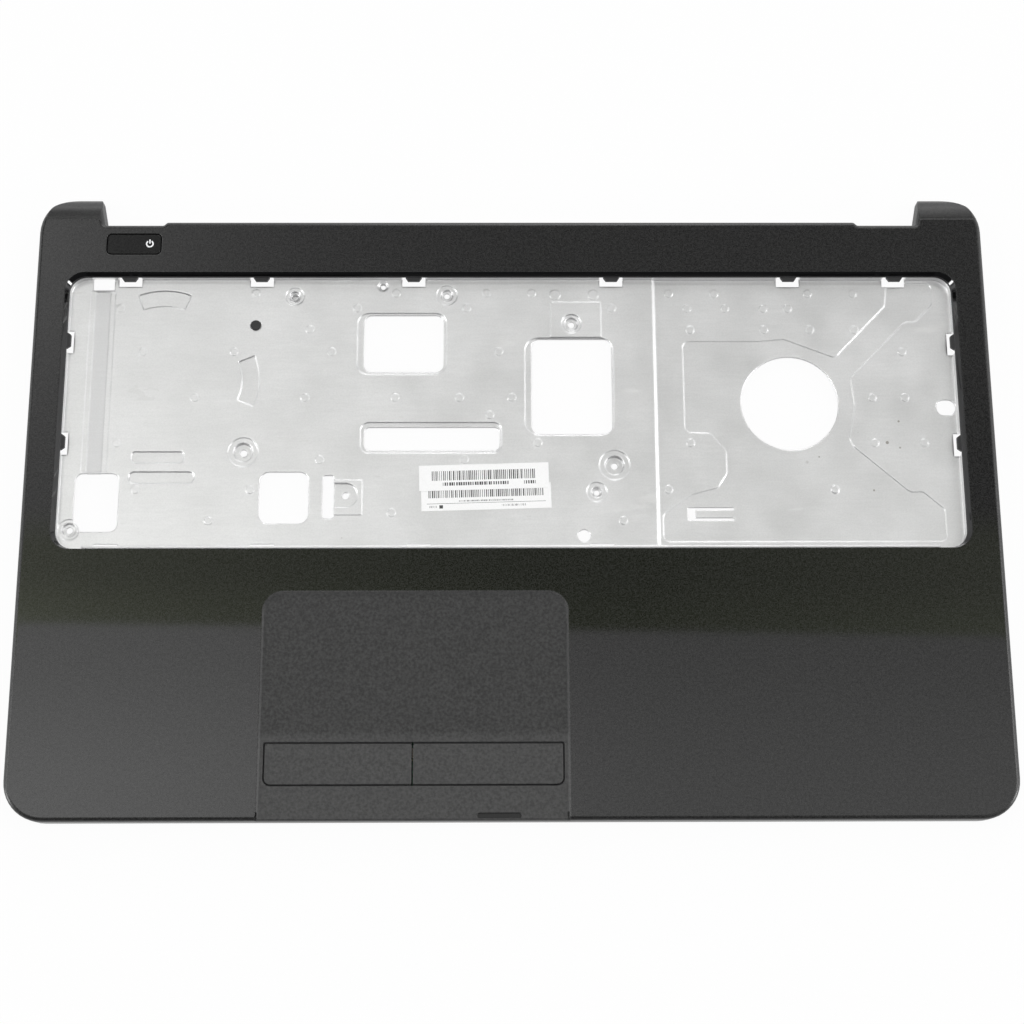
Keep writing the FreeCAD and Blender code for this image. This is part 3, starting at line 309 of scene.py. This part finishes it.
# %% Film colours and roughness
def film_colour(tree, tone, region, fine, coarse, print_grain):
    slow = use_group(tree, grain_group, Size=0.03, Contrast=1.2)["Value"]
    dark, light = (tuple(v * share for v in tone) for share in (0.1, 1.9))
    colour = mix_colour(tree, print_grain, dark, light)
    pad_grain = calc(tree, "MULTIPLY_ADD", coarse, 0.75, calc(tree, "MULTIPLY", fine, 0.25))
    pad_dark = mix_colour(tree, region["strip"], (0.0, 0.0, 0.0), (0.018, 0.018, 0.018))
    pad_light = mix_colour(tree, region["strip"], tuple(v * 2.0 for v in pad_tone),
                           (0.056, 0.056, 0.055))
    pad_colour = mix_colour(tree, pad_grain, pad_dark, pad_light)
    colour = mix_colour(tree, region["recess"], colour, pad_colour)
    colour = mix_colour(tree, calc(tree, "MULTIPLY", slow, 0.15), colour, tone)
    # Near black over the bevel is its own colour; over the scoop it is painted shade.
    colour = mix_colour(tree, region["black"], colour, (0.003, 0.003, 0.003))
    return mix_colour(tree, region["hidden"], colour, (0.018, 0.018, 0.019))


def blend(tree, amount, first, second):
    return put(tree, "ShaderNodeMix", {0: amount, 2: first, 3: second}).outputs[0]


def film_roughness(tree, sheen, region, bare, print_grain):
    rough = calc(tree, "MULTIPLY_ADD", print_grain, 0.02, sheen)
    pad_rough = calc(tree, "MULTIPLY_ADD", print_grain, 0.12, 0.42)
    rough = blend(tree, region["recess"], rough, pad_rough)
    rough = blend(tree, region["satin"], rough, 0.34)
    bare_rough = calc(tree, "MULTIPLY_ADD", bare, 0.2, 0.38)
    return blend(tree, region["hidden"], rough, bare_rough)


# %% Charcoal film
def charcoal(name, tone, sheen=0.022, mirror=0.5):
    """Printed film of a mean tone, with its face's roughness and its specular level."""
    material, tree, shader = finish(name, IOR=1.5, Specular_IOR_Level=mirror)
    region = cover_regions(tree)
    fine = use_group(tree, grain_group, Size=0.0005, Contrast=4.0)["Value"]
    coarse = use_group(tree, grain_group, Size=0.0011, Contrast=3.0)["Value"]
    bare = use_group(tree, grain_group, Size=0.0009, Contrast=2.0)["Value"]
    dust = use_group(tree, dust_group, Spacing=0.03, Size=0.00028, Share=0.14)["Mask"]
    print_grain = calc(tree, "MULTIPLY_ADD", fine, 0.6, calc(tree, "MULTIPLY", coarse, 0.4))
    colour = film_colour(tree, tone, region, fine, coarse, print_grain)
    colour = mix_colour(tree, dust, colour, (0.35, 0.35, 0.34))
    rough = film_roughness(tree, sheen, region, bare, print_grain)
    rough = calc(tree, "MAXIMUM", rough, calc(tree, "MULTIPLY", dust, 0.7))
    feed(tree, shader, Base_Color=colour, Roughness=rough)
    depth = calc(tree, "MULTIPLY_ADD", region["recess"], 0.9, 0.012)
    height = calc(tree, "MULTIPLY_ADD", print_grain, depth,
                  calc(tree, "MULTIPLY", bare, region["hidden"]))
    relief(tree, shader, height, 0.00001, edge=0.0005)
    return material


film_tone = (0.0155, 0.0155, 0.0152)
pad_tone = (0.0185, 0.0185, 0.0182)
film = charcoal("charcoal film", film_tone)
power_film = charcoal("power button film", (0.0085, 0.0086, 0.0084), sheen=0.12,
                      mirror=0.22)

# %% [markdown]
# ## The silver sheet
# The keyboard plate is thin sheet, satin from rolling, with a faint mottle, a few dull smears and
# specks of dirt. It is a metal with no paint, so its look is nearly all roughness: the base
# colour stays close to that of the metal.

# %% Silver sheet
sheet, tree, shader = finish("satin sheet", Metallic=1.0)
grain = use_group(tree, grain_group, Size=0.0006, Contrast=2.2)["Value"]
rolled = use_group(tree, grain_group, Size=0.0012, Contrast=2.0, Stretch=(0.12, 1.0, 1.0))["Value"]
cloud = use_group(tree, grain_group, Size=0.022, Contrast=2.2)["Value"]
smear = use_group(tree, scuff_group, Direction=(0.5, 1.3, 1.0), Threshold=0.64)["Mask"]
few = use_group(tree, dust_group, Spacing=0.011, Size=0.00045, Share=0.06)["Mask"]
many = use_group(tree, dust_group, Spacing=0.0052, Size=0.0007, Share=0.25)["Mask"]
worn_low, worn_high = (0.118, -0.004, 0), (0.156, 0.042, 0.02)
worn = use_group(tree, box_group, Low=worn_low, High=worn_high, Soft=0.004)["Mask"]
dirt = calc(tree, "MAXIMUM", few, calc(tree, "MULTIPLY", many, worn))
# A strip along the channel at the left is rougher, and is darkened as painted shade of the channel's
# deeper step.
strip_low, strip_high = (-0.1651, 0.0101, 0), (-0.1592, 0.0847, 0.02)
dull_and_painted_shade_strip = use_group(tree, box_group, Low=strip_low, High=strip_high, Soft=0.0002)["Mask"]
colour = mix_colour(tree, cloud, (0.77, 0.77, 0.77), (0.83, 0.83, 0.83))
colour = mix_colour(tree, calc(tree, "MULTIPLY", rolled, 0.35), colour, (0.69, 0.69, 0.69))
colour = mix_colour(tree, calc(tree, "MULTIPLY", grain, 0.25), colour, (0.54, 0.54, 0.54))
# Painted shade: the channel strip is darkened here.
colour = mix_colour(tree, calc(tree, "MULTIPLY", dull_and_painted_shade_strip, 0.35), colour, (0.54, 0.54, 0.54))
colour = mix_colour(tree, calc(tree, "MULTIPLY", smear, 0.25), colour, (0.58, 0.58, 0.56))
colour = mix_colour(tree, calc(tree, "MULTIPLY", dirt, 0.75), colour, (0.28, 0.26, 0.23))
rough = calc(tree, "MULTIPLY_ADD", cloud, 0.05, 0.36)
rough = calc(tree, "MULTIPLY_ADD", dull_and_painted_shade_strip, 0.12, rough)
rough = calc(tree, "MULTIPLY_ADD", smear, 0.08, rough)
feed(tree, shader, Base_Color=colour, Roughness=rough)
relief(tree, shader, calc(tree, "ADD", grain, rolled), 0.000006, edge=0.0009)

# %% [markdown]
# ## The labels
# Two paper labels lie on the sheet, printed with rows of bars. A picture of the print would need
# an image file, so the rows are drawn by arithmetic: each is cut into cells of one pitch, and each
# cell holds one bar of a random width. The coordinates are first moved to the label's own middle
# and turned by its angle.

# %% Label print
label_angle = math.radians(1.6)


def paper(name, node, rows):
    """White paper with rows of bars, each given by its four edges, its pitch and its blackness."""
    low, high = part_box(node)
    middle = [(a + b) / 2 for a, b in zip(low, high)]
    material, tree, shader = finish(name, Roughness=0.55, IOR=1.45)
    place = put(tree, "ShaderNodeTexCoord").outputs["Object"]
    centred = put(tree, "ShaderNodeVectorMath", {0: place, 1: middle}, operation="SUBTRACT")
    turned = put(tree, "ShaderNodeVectorRotate", {"Vector": centred.outputs[0],
                                                  "Angle": -label_angle}, rotation_type="Z_AXIS")
    parts = put(tree, "ShaderNodeSeparateXYZ", {0: turned.outputs[0]})
    along, across = parts.outputs[0], parts.outputs[1]
    ink = 0.0
    for number, (row_left, row_right, row_low, row_high, pitch, black) in enumerate(rows):
        cells = calc(tree, "DIVIDE", along, pitch * mm)
        chance = put(tree, "ShaderNodeTexWhiteNoise",
                     {"W": calc(tree, "ADD", calc(tree, "FLOOR", cells), 17.0 * number)},
                     noise_dimensions="1D").outputs["Value"]
        width = calc(tree, "MULTIPLY_ADD", chance, 0.45, black - 0.225)
        row = calc(tree, "LESS_THAN", calc(tree, "FRACT", cells), width)
        for value, edge, side in ((along, row_left, "GREATER_THAN"), (along, row_right, "LESS_THAN"),
                                  (across, row_low, "GREATER_THAN"), (across, row_high, "LESS_THAN")):
            row = calc(tree, "MULTIPLY", row, calc(tree, side, value, edge * mm))
        ink = calc(tree, "MAXIMUM", row, ink)
    fibre = use_group(tree, grain_group, Size=0.0004, Contrast=1.6)["Value"]
    colour = mix_colour(tree, fibre, (0.84, 0.84, 0.83), (0.92, 0.92, 0.92))
    colour = mix_colour(tree, calc(tree, "MULTIPLY", ink, 0.95), colour, (0.02, 0.02, 0.02))
    feed(tree, shader, Base_Color=colour)
    relief(tree, shader, fibre, 0.000004)
    return material


upper_paper = paper("upper label paper", "upper_label", [
    (-20.2, 20.2, -1.1, 2.7, 0.75, 0.48), (-16.0, 9.5, -3.2, -1.9, 0.9, 0.62),
    (15.5, 20.0, -3.2, -1.9, 0.9, 0.62)])
lower_paper = paper("lower label paper", "lower_label", [
    (-22.3, 22.3, 0.0, 3.5, 0.75, 0.48), (-10.5, 10.5, -1.7, -1.1, 0.5, 0.45),
    (-23.0, 23.0, -2.35, -2.2, 50.0, 1.3), (-18.2, -16.8, -4.2, -2.9, 50.0, 1.3),
    (-22.0, -19.2, -3.9, -3.1, 0.5, 0.35), (6.0, 15.5, -3.9, -3.1, 0.5, 0.35)])
print("label papers:", upper_paper.name, "and", lower_paper.name)

# %% [markdown]
# ## Rubber, clear plastic and hidden parts
# The plug is matt rubber, and the power symbol is a milky light guide. The boards, switches,
# sockets, steel bracket, screws and brass inserts are seen only from below, but each has a finish
# of its own.

# %% Rubber and light guide
rubber, tree, shader = finish("plug rubber", IOR=1.45)
grain = use_group(tree, grain_group, Size=0.0004, Contrast=2.0)["Value"]
feed(tree, shader, Base_Color=mix_colour(tree, grain, (0.012, 0.012, 0.012), (0.03, 0.03, 0.03)),
     Roughness=calc(tree, "MULTIPLY_ADD", grain, 0.15, 0.5))
relief(tree, shader, grain, 0.00001)

guide, tree, shader = finish("light guide", IOR=1.5, Subsurface_Weight=0.2)
shader.inputs["Subsurface Radius"].default_value = (0.0006, 0.0006, 0.0006)
haze = use_group(tree, grain_group, Size=0.001, Contrast=1.2)["Value"]
feed(tree, shader, Base_Color=mix_colour(tree, haze, (0.80, 0.81, 0.82), (0.90, 0.91, 0.92)),
     Roughness=calc(tree, "MULTIPLY_ADD", haze, 0.1, 0.25))

lamp_resin, tree, shader = finish("lamp resin", IOR=1.53)
haze = use_group(tree, grain_group, Size=0.0006, Contrast=1.5)["Value"]
feed(tree, shader, Base_Color=mix_colour(tree, haze, (0.70, 0.66, 0.40), (0.85, 0.84, 0.70)),
     Roughness=calc(tree, "MULTIPLY_ADD", haze, 0.1, 0.15))


# %% Circuit board
def solder_mask(name, track_size):
    """Green lacquer over copper tracks, which stand up a little and show lighter."""
    material, tree, shader = finish(name, IOR=1.5)
    place = put(tree, "ShaderNodeTexCoord").outputs["Object"]
    tracks = put(tree, "ShaderNodeTexBrick",
                 {"Vector": place, "Scale": 1.0, "Mortar Size": track_size * 0.16,
                  "Mortar Smooth": 0.1, "Brick Width": track_size * 5, "Row Height": track_size},
                 offset=0.37, squash=0.7, squash_frequency=3).outputs["Fac"]
    weave = use_group(tree, grain_group, Size=0.0005, Contrast=1.5)["Value"]
    colour = mix_colour(tree, tracks, (0.012, 0.085, 0.035), (0.03, 0.17, 0.07))
    colour = mix_colour(tree, calc(tree, "MULTIPLY", weave, 0.3), colour, (0.01, 0.06, 0.03))
    feed(tree, shader, Base_Color=colour, Roughness=calc(tree, "MULTIPLY_ADD", weave, 0.15, 0.22))
    relief(tree, shader, calc(tree, "ADD", tracks, calc(tree, "MULTIPLY", weave, 0.2)), 0.00003)
    return material


board_lacquer = solder_mask("board lacquer", 2.2 * mm)


# %% Plain mouldings
def moulding(name, dark, light, grain_size, rough):
    material, tree, shader = finish(name, IOR=1.48)
    grain = use_group(tree, grain_group, Size=grain_size, Contrast=2.0)["Value"]
    slow = use_group(tree, grain_group, Size=grain_size * 12, Contrast=1.4)["Value"]
    amount = calc(tree, "MULTIPLY_ADD", slow, 0.5, calc(tree, "MULTIPLY", grain, 0.5))
    colour = mix_colour(tree, amount, dark, light)
    feed(tree, shader, Base_Color=colour, Roughness=calc(tree, "MULTIPLY_ADD", grain, 0.15, rough))
    relief(tree, shader, grain, 0.000008)
    return material


black_moulding = moulding("black moulding", (0.010, 0.010, 0.011), (0.026, 0.026, 0.027), 0.0004, 0.35)
grey_moulding = moulding("grey moulding", (0.20, 0.20, 0.20), (0.30, 0.30, 0.29), 0.0004, 0.35)
ivory_moulding = moulding("ivory moulding", (0.58, 0.54, 0.44), (0.70, 0.67, 0.57), 0.0005, 0.32)
tape_film = moulding("tape film", (0.015, 0.015, 0.015), (0.04, 0.04, 0.04), 0.0008, 0.45)


# %% Steel and brass
def bare_metal(name, dark, light, rough, size, stretch):
    """A metal whose brushing or plating shows as a stretched grain and dull patches."""
    material, tree, shader = finish(name, Metallic=1.0)
    brushed = use_group(tree, grain_group, Size=size, Contrast=2.4, Stretch=stretch)["Value"]
    patch = use_group(tree, grain_group, Size=0.004, Contrast=2.0)["Value"]
    amount = calc(tree, "MULTIPLY_ADD", patch, 0.6, calc(tree, "MULTIPLY", brushed, 0.4))
    colour = mix_colour(tree, amount, dark, light)
    feed(tree, shader, Base_Color=colour, Roughness=calc(tree, "MULTIPLY_ADD", patch, 0.12, rough))
    relief(tree, shader, brushed, 0.000006)
    return material


zinc = bare_metal("zinc-plated steel", (0.48, 0.49, 0.50), (0.68, 0.69, 0.70), 0.30, 0.0006, (0.3, 1, 1))
brass = bare_metal("turned brass", (0.62, 0.42, 0.16), (0.80, 0.60, 0.28), 0.24, 0.0003, (1, 1, 4))
gold = bare_metal("contact plating", (0.75, 0.52, 0.20), (0.92, 0.70, 0.34), 0.22, 0.0003, (1, 1, 1))
tin = bare_metal("solder tin", (0.55, 0.56, 0.57), (0.78, 0.78, 0.78), 0.28, 0.0004, (1, 1, 1))

# %% [markdown]
# ## Giving each solid its finish
# A solid that comes from the frame keeps its shape and only has its material slot filled.

# %% Finishes for the solids
finishes = {
    "top_cover": film, "keyboard_plate": sheet, "plate_plug": rubber,
    "lower_label": lower_paper, "upper_label": upper_paper,
    "power_button": power_film, "power_icon": guide,
    "left_button": film, "right_button": film,
    "power_lamp": lamp_resin, "touchpad_adhesive": tape_film,
    "touchpad_controller": black_moulding, "touchpad_bracket": zinc,
}
for name in ("power_board", "touchpad_board", "button_board"):
    finishes[name] = board_lacquer
for name in ("power_switch", "left_switch", "right_switch"):
    finishes[name] = black_moulding
for name in ("power_plunger", "left_plunger", "right_plunger"):
    finishes[name] = grey_moulding
for name in ("power_socket", "touchpad_socket", "button_socket"):
    finishes[name] = ivory_moulding
for name in ("power_screws", "bracket_screws"):
    finishes[name] = zinc
for name in ("small_inserts", "base_inserts"):
    finishes[name] = brass
for name, material in finishes.items():
    nodes[name].data.materials.clear()
    nodes[name].data.materials.append(material)
print("solids without a finish:", sorted(set(nodes) - set(finishes)))

# %% [markdown]
# ## Contacts, legs and leads
# A ribbon socket has a row of gilt contacts, a switch stands on four soldered legs, and the
# touchpad's controller has a row of leads on each side. They repeat, so one small tree of
# geometry nodes lays out all of them: a row of points, a bent strip on each, then real meshes
# with their material. The row's count, pitch and strip sizes are the tree's inputs.

# %% A tree that lays strips in a row
def strip_row_tree(material):
    """A row of bent strips, each a flat foot and a riser, in one material."""
    tree = bpy.data.node_groups.new("Row of strips in " + material.name, "GeometryNodeTree")
    sockets = {}
    for name, kind, value in (("Count", "NodeSocketInt", 8), ("Pitch", FLOAT, mm),
                              ("Width", FLOAT, 0.4 * mm), ("Length", FLOAT, 1.2 * mm),
                              ("Rise", FLOAT, 0.6 * mm), ("Thickness", FLOAT, 0.15 * mm)):
        socket = tree.interface.new_socket(name=name, in_out="INPUT", socket_type=kind)
        socket.default_value = value
        sockets[name] = socket.identifier
    tree.interface.new_socket(name="Geometry", in_out="OUTPUT", socket_type="NodeSocketGeometry")
    start = tree.nodes.new("NodeGroupInput")
    end = tree.nodes.new("NodeGroupOutput")

    def vector(x=0.0, y=0.0, z=0.0):
        return put(tree, "ShaderNodeCombineXYZ", {"X": x, "Y": y, "Z": z}).outputs[0]

    size = start.outputs
    last = calc(tree, "SUBTRACT", size["Count"], 1)
    row_start = calc(tree, "MULTIPLY", calc(tree, "MULTIPLY", last, size["Pitch"]), -0.5)
    row = put(tree, "GeometryNodeMeshLine", {"Count": size["Count"],
                                             "Start Location": vector(x=row_start),
                                             "Offset": vector(x=size["Pitch"])})
    foot = put(tree, "GeometryNodeMeshCube",
               {"Size": vector(size["Width"], size["Length"], size["Thickness"])})
    foot_place = vector(y=calc(tree, "MULTIPLY", size["Length"], -0.5),
                        z=calc(tree, "MULTIPLY", size["Thickness"], 0.5))
    foot_moved = put(tree, "GeometryNodeTransform", {"Geometry": foot.outputs["Mesh"],
                                                     "Translation": foot_place})
    riser = put(tree, "GeometryNodeMeshCube",
                {"Size": vector(size["Width"], size["Thickness"], size["Rise"])})
    riser_place = vector(y=calc(tree, "MULTIPLY", size["Thickness"], 0.5),
                         z=calc(tree, "MULTIPLY", size["Rise"], 0.5))
    riser_moved = put(tree, "GeometryNodeTransform", {"Geometry": riser.outputs["Mesh"],
                                                      "Translation": riser_place})
    strip = put(tree, "GeometryNodeJoinGeometry")
    tree.links.new(foot_moved.outputs[0], strip.inputs[0])
    tree.links.new(riser_moved.outputs[0], strip.inputs[0])
    copies = put(tree, "GeometryNodeInstanceOnPoints", {"Points": row.outputs[0],
                                                        "Instance": strip.outputs[0]})
    real = put(tree, "GeometryNodeRealizeInstances", {"Geometry": copies.outputs[0]})
    painted = put(tree, "GeometryNodeSetMaterial", {"Geometry": real.outputs[0]})
    painted.inputs["Material"].default_value = material
    tree.links.new(painted.outputs[0], end.inputs[0])
    return tree, sockets


def lay_row(name, tree_and_sockets, place, turn, flip, body, slot_name, **sizes):
    """Run the tree once and leave a plain mesh: turned about Z, and hung upside down if flip."""
    tree, sockets = tree_and_sockets
    carrier = bpy.data.objects.new(name + "_carrier", bpy.data.meshes.new(name + "_carrier"))
    bpy.context.scene.collection.objects.link(carrier)
    modifier = carrier.modifiers.new("row", "NODES")
    modifier.node_group = tree
    for key, value in sizes.items():
        modifier[sockets[key]] = value
    bpy.context.view_layer.update()
    evaluated = carrier.evaluated_get(bpy.context.evaluated_depsgraph_get())
    mesh = bpy.data.meshes.new_from_object(evaluated)
    bpy.data.objects.remove(carrier)
    where = Matrix.Translation(Vector(place)) @ Matrix.Rotation(turn, 4, "Z")
    if flip:
        where = where @ Matrix.Rotation(math.pi, 4, "Y")
    mesh.transform(where)
    piece = bpy.data.objects.new(name, mesh)
    bpy.context.scene.collection.objects.link(piece)
    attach(piece, body)
    return piece


# %% Socket contacts
gilt_rows = strip_row_tree(gold)
tin_rows = strip_row_tree(tin)
made = []
for socket_name, on_top in (("power_socket", False), ("touchpad_socket", False),
                            ("button_socket", True)):
    low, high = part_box(socket_name)
    board_side = low[2] if on_top else high[2]
    place = ((low[0] + high[0]) / 2, low[1] - 0.15 * mm, board_side)
    made.append(lay_row(socket_name + "_contacts", gilt_rows, place, 0.0, not on_top, "cover",
                        "brass", Count=10, Pitch=1.0 * mm, Width=0.45 * mm,
                        Length=0.9 * mm, Rise=0.55 * mm, Thickness=0.15 * mm))

# %% Switch legs
for switch_name in ("power_switch", "left_switch", "right_switch"):
    low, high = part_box(switch_name)
    middle_x = (low[0] + high[0]) / 2
    middle_y = (low[1] + high[1]) / 2
    half = (high[0] - low[0]) / 2
    for side, turn in (("left", -math.pi / 2), ("right", math.pi / 2)):
        sign = -1 if side == "left" else 1
        place = (middle_x + sign * (half + 0.15 * mm), middle_y, low[2])
        made.append(lay_row(switch_name + "_legs_" + side, tin_rows, place, turn, False, "cover",
                            "zinc_steel", Count=2, Pitch=4.0 * mm, Width=0.7 * mm,
                            Length=0.7 * mm, Rise=0.7 * mm, Thickness=0.15 * mm))

# %% Controller leads
low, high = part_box("touchpad_controller")
middle_x = (low[0] + high[0]) / 2
middle_y = (low[1] + high[1]) / 2
half = (high[0] - low[0]) / 2
for number in range(4):
    turn = number * math.pi / 2
    place = (middle_x + math.sin(turn) * (half + 0.1 * mm),
             middle_y - math.cos(turn) * (half + 0.1 * mm), high[2])
    made.append(lay_row("controller_leads_%d" % number, tin_rows, place, turn, True, "cover",
                        "zinc_steel", Count=12, Pitch=0.55 * mm, Width=0.22 * mm,
                        Length=0.8 * mm, Rise=0.5 * mm, Thickness=0.1 * mm))
print("rows laid:", len(made), "faces:", sum(len(piece.data.polygons) for piece in made))

# %% [markdown]
# ## Floor and light
# The photograph shows the part on pure white. The floor here is pale and catches the shadow, and
# is lifted to white only for the camera and for what mirrors it. A second lamp on the floor could
# do that too, but it would also wash out the shadow.

# %% Floor
floor_reach = 4.0
corners = [(-floor_reach, -floor_reach), (floor_reach, -floor_reach), (floor_reach, floor_reach),
           (-floor_reach, floor_reach)]
floor_mesh = bpy.data.meshes.new("floor")
floor_mesh.from_pydata([(x, y, 0) for x, y in corners], [], [(0, 1, 2, 3)])
floor = bpy.data.objects.new("floor", floor_mesh)
bpy.context.scene.collection.objects.link(floor)
floor_paint = bpy.data.materials.new("pale floor")
floor_paint.use_nodes = True
tree = floor_paint.node_tree
tree.nodes.clear()
white = put(tree, "ShaderNodeEmission", {"Color": (1, 1, 1, 1), "Strength": 1.0})
pale = put(tree, "ShaderNodeBsdfDiffuse", {"Color": (0.80, 0.80, 0.80, 1)})
rays = put(tree, "ShaderNodeLightPath")
seen = calc(tree, "MAXIMUM", rays.outputs["Is Camera Ray"],
            calc(tree, "MAXIMUM", rays.outputs["Is Glossy Ray"], rays.outputs["Is Transmission Ray"]))
lifted = put(tree, "ShaderNodeMixShader", {0: calc(tree, "MULTIPLY", seen, 0.95),
                                           1: pale.outputs[0], 2: white.outputs[0]})
put(tree, "ShaderNodeOutputMaterial", {"Surface": lifted.outputs[0]})
floor_mesh.materials.append(floor_paint)

# %% [markdown]
# ## Panels in the sky
# The deck is smooth enough to mirror the studio, and the dark band across the palm rest is such a
# reflection. It could be painted on, but then it would not move as the eye moves. So the sky has
# soft panels: one over the user, a dark olive gap beyond it, and one over the hinges. A direction
# is told by its slope, which is how far it leans sideways, or away from the user, for each step up.

# %% Directions in the sky
world = bpy.data.worlds.new("studio")
bpy.context.scene.world = world
world.use_nodes = True
tree = world.node_tree
tree.nodes.clear()
direction = put(tree, "ShaderNodeTexCoord").outputs["Generated"]
parts = put(tree, "ShaderNodeSeparateXYZ", {0: direction})
rise = calc(tree, "MAXIMUM", parts.outputs[2], 0.02)
sideways = calc(tree, "DIVIDE", parts.outputs[0], rise)
away = calc(tree, "DIVIDE", parts.outputs[1], rise)


def even_grey(value):
    return put(tree, "ShaderNodeCombineColor", {0: value, 1: value, 2: value}).outputs[0]


# %% Panel over the user, and the dark gap
band_near = 0.1835
band_tilt = -0.016
band_far = 0.245
band_soft = 0.015
side_fall = ramp(tree, sideways, -0.30, 0.12, 1.0, 0.49)
front_panel = calc(tree, "MULTIPLY", ramp(tree, away, 0.08, 0.19, 2.20, 1.50), side_fall)
from_left = calc(tree, "POWER", ramp(tree, sideways, -0.30, 0.02, smooth=False), 0.5)
olive = mix_colour(tree, from_left, (0.85, 0.92, 0.66), (0.12, 0.15, 0.06))
olive = mix_colour(tree, ramp(tree, sideways, 0.08, 0.30, smooth=False), olive, (0.33, 0.37, 0.24))
band_edge = calc(tree, "MULTIPLY_ADD", sideways, band_tilt, band_near)
beyond_edge = calc(tree, "SUBTRACT", away, band_edge)
olive = put(tree, "ShaderNodeVectorMath",
            {0: olive, "Scale": ramp(tree, beyond_edge, 0.0, 0.035, 1.45, 1.0)},
            operation="SCALE").outputs[0]
sky = mix_colour(tree, ramp(tree, beyond_edge, -0.002, 0.002), even_grey(front_panel), olive)

# %% Panels over the hinges, at the right and far behind
leftward = calc(tree, "POWER", ramp(tree, sideways, -0.27, 0.25, 1.0, 0.0, smooth=False), 4.5)
back_panel = calc(tree, "MULTIPLY_ADD", leftward, 0.85, 0.24)
back_panel = calc(tree, "MULTIPLY", back_panel, ramp(tree, away, 0.26, 0.43, 0.72, 1.20))
sky = mix_colour(tree, ramp(tree, away, band_far - band_soft, band_far + band_soft), sky,
                 even_grey(back_panel))
sky = mix_colour(tree, ramp(tree, sideways, 0.34, 0.60), sky, (1.2, 1.2, 1.2))
sky = mix_colour(tree, ramp(tree, away, 0.46, 0.62), sky, (1.1, 1.1, 1.1))

# %% [markdown]
# The silver sheet mirrors the same sky, only more blurred. A dark ring around the panels and a
# bright low sky beyond it draw a dark and a light line on each pressed edge.

# %% Dark ring and low sky
ring_middle = 0.22
from_middle = put(tree, "ShaderNodeCombineXYZ",
                  {0: sideways, 1: calc(tree, "SUBTRACT", away, ring_middle)}).outputs[0]
reach = put(tree, "ShaderNodeVectorMath", {0: from_middle}, operation="LENGTH").outputs["Value"]
ring = calc(tree, "MULTIPLY", ramp(tree, reach, 0.55, 0.80), ramp(tree, sideways, 0.3, 0.6, 1.0, 0.45))
sky = mix_colour(tree, ring, sky, (0.06, 0.06, 0.065))
low_sky = mix_colour(tree, ramp(tree, away, -1.5, -0.3), (0.12, 0.12, 0.13), (1.8, 1.8, 1.82))
sky = mix_colour(tree, ramp(tree, reach, 1.9, 2.6), sky, low_sky)
camera_ray = put(tree, "ShaderNodeLightPath").outputs["Is Camera Ray"]
sky = mix_colour(tree, camera_ray, sky, (1.0, 1.0, 1.0))
background = put(tree, "ShaderNodeBackground", {"Color": sky, "Strength": 1.0})
put(tree, "ShaderNodeOutputWorld", {"Surface": background.outputs[0]})

# %% [markdown]
# ## Lamps
# Three large lamps at the left, at the right and behind light the labels and the pressed edges.
# Two smaller ones stand low in front, where the bay's bevel mirrors them as a short glint in each
# back corner. Their directions were found by following the mirrored line from those corners.

# %% Lamps
def soft_lamp(name, direction, distance, radius, watts):
    data = bpy.data.lights.new(name, "AREA")
    data.shape = "DISK"
    data.size = 2 * radius
    data.energy = watts
    lamp = bpy.data.objects.new(name, data)
    bpy.context.scene.collection.objects.link(lamp)
    aim = Vector(direction).normalized()
    lamp.location = aim * distance
    lamp.rotation_euler = aim.to_track_quat("Z", "Y").to_euler()


large = dict(distance=2.4, radius=0.5, watts=10)
small = dict(distance=2.0, radius=0.20, watts=11)
soft_lamp("left_lamp", (-1.2, 0.0, 1.0), **large)
soft_lamp("right_lamp", (1.2, 0.1, 1.0), **large)
soft_lamp("back_lamp", (0.1, 1.5, 1.0), **large)
soft_lamp("front_right_lamp", (0.942, -0.286, 0.175), **small)
soft_lamp("front_left_lamp", (-0.939, -0.290, 0.184), **small)

# %% [markdown]
# ## Last lines
# The picture keeps plain tones.

# %% Plain tones
bpy.context.scene.view_settings.view_transform = "Standard"
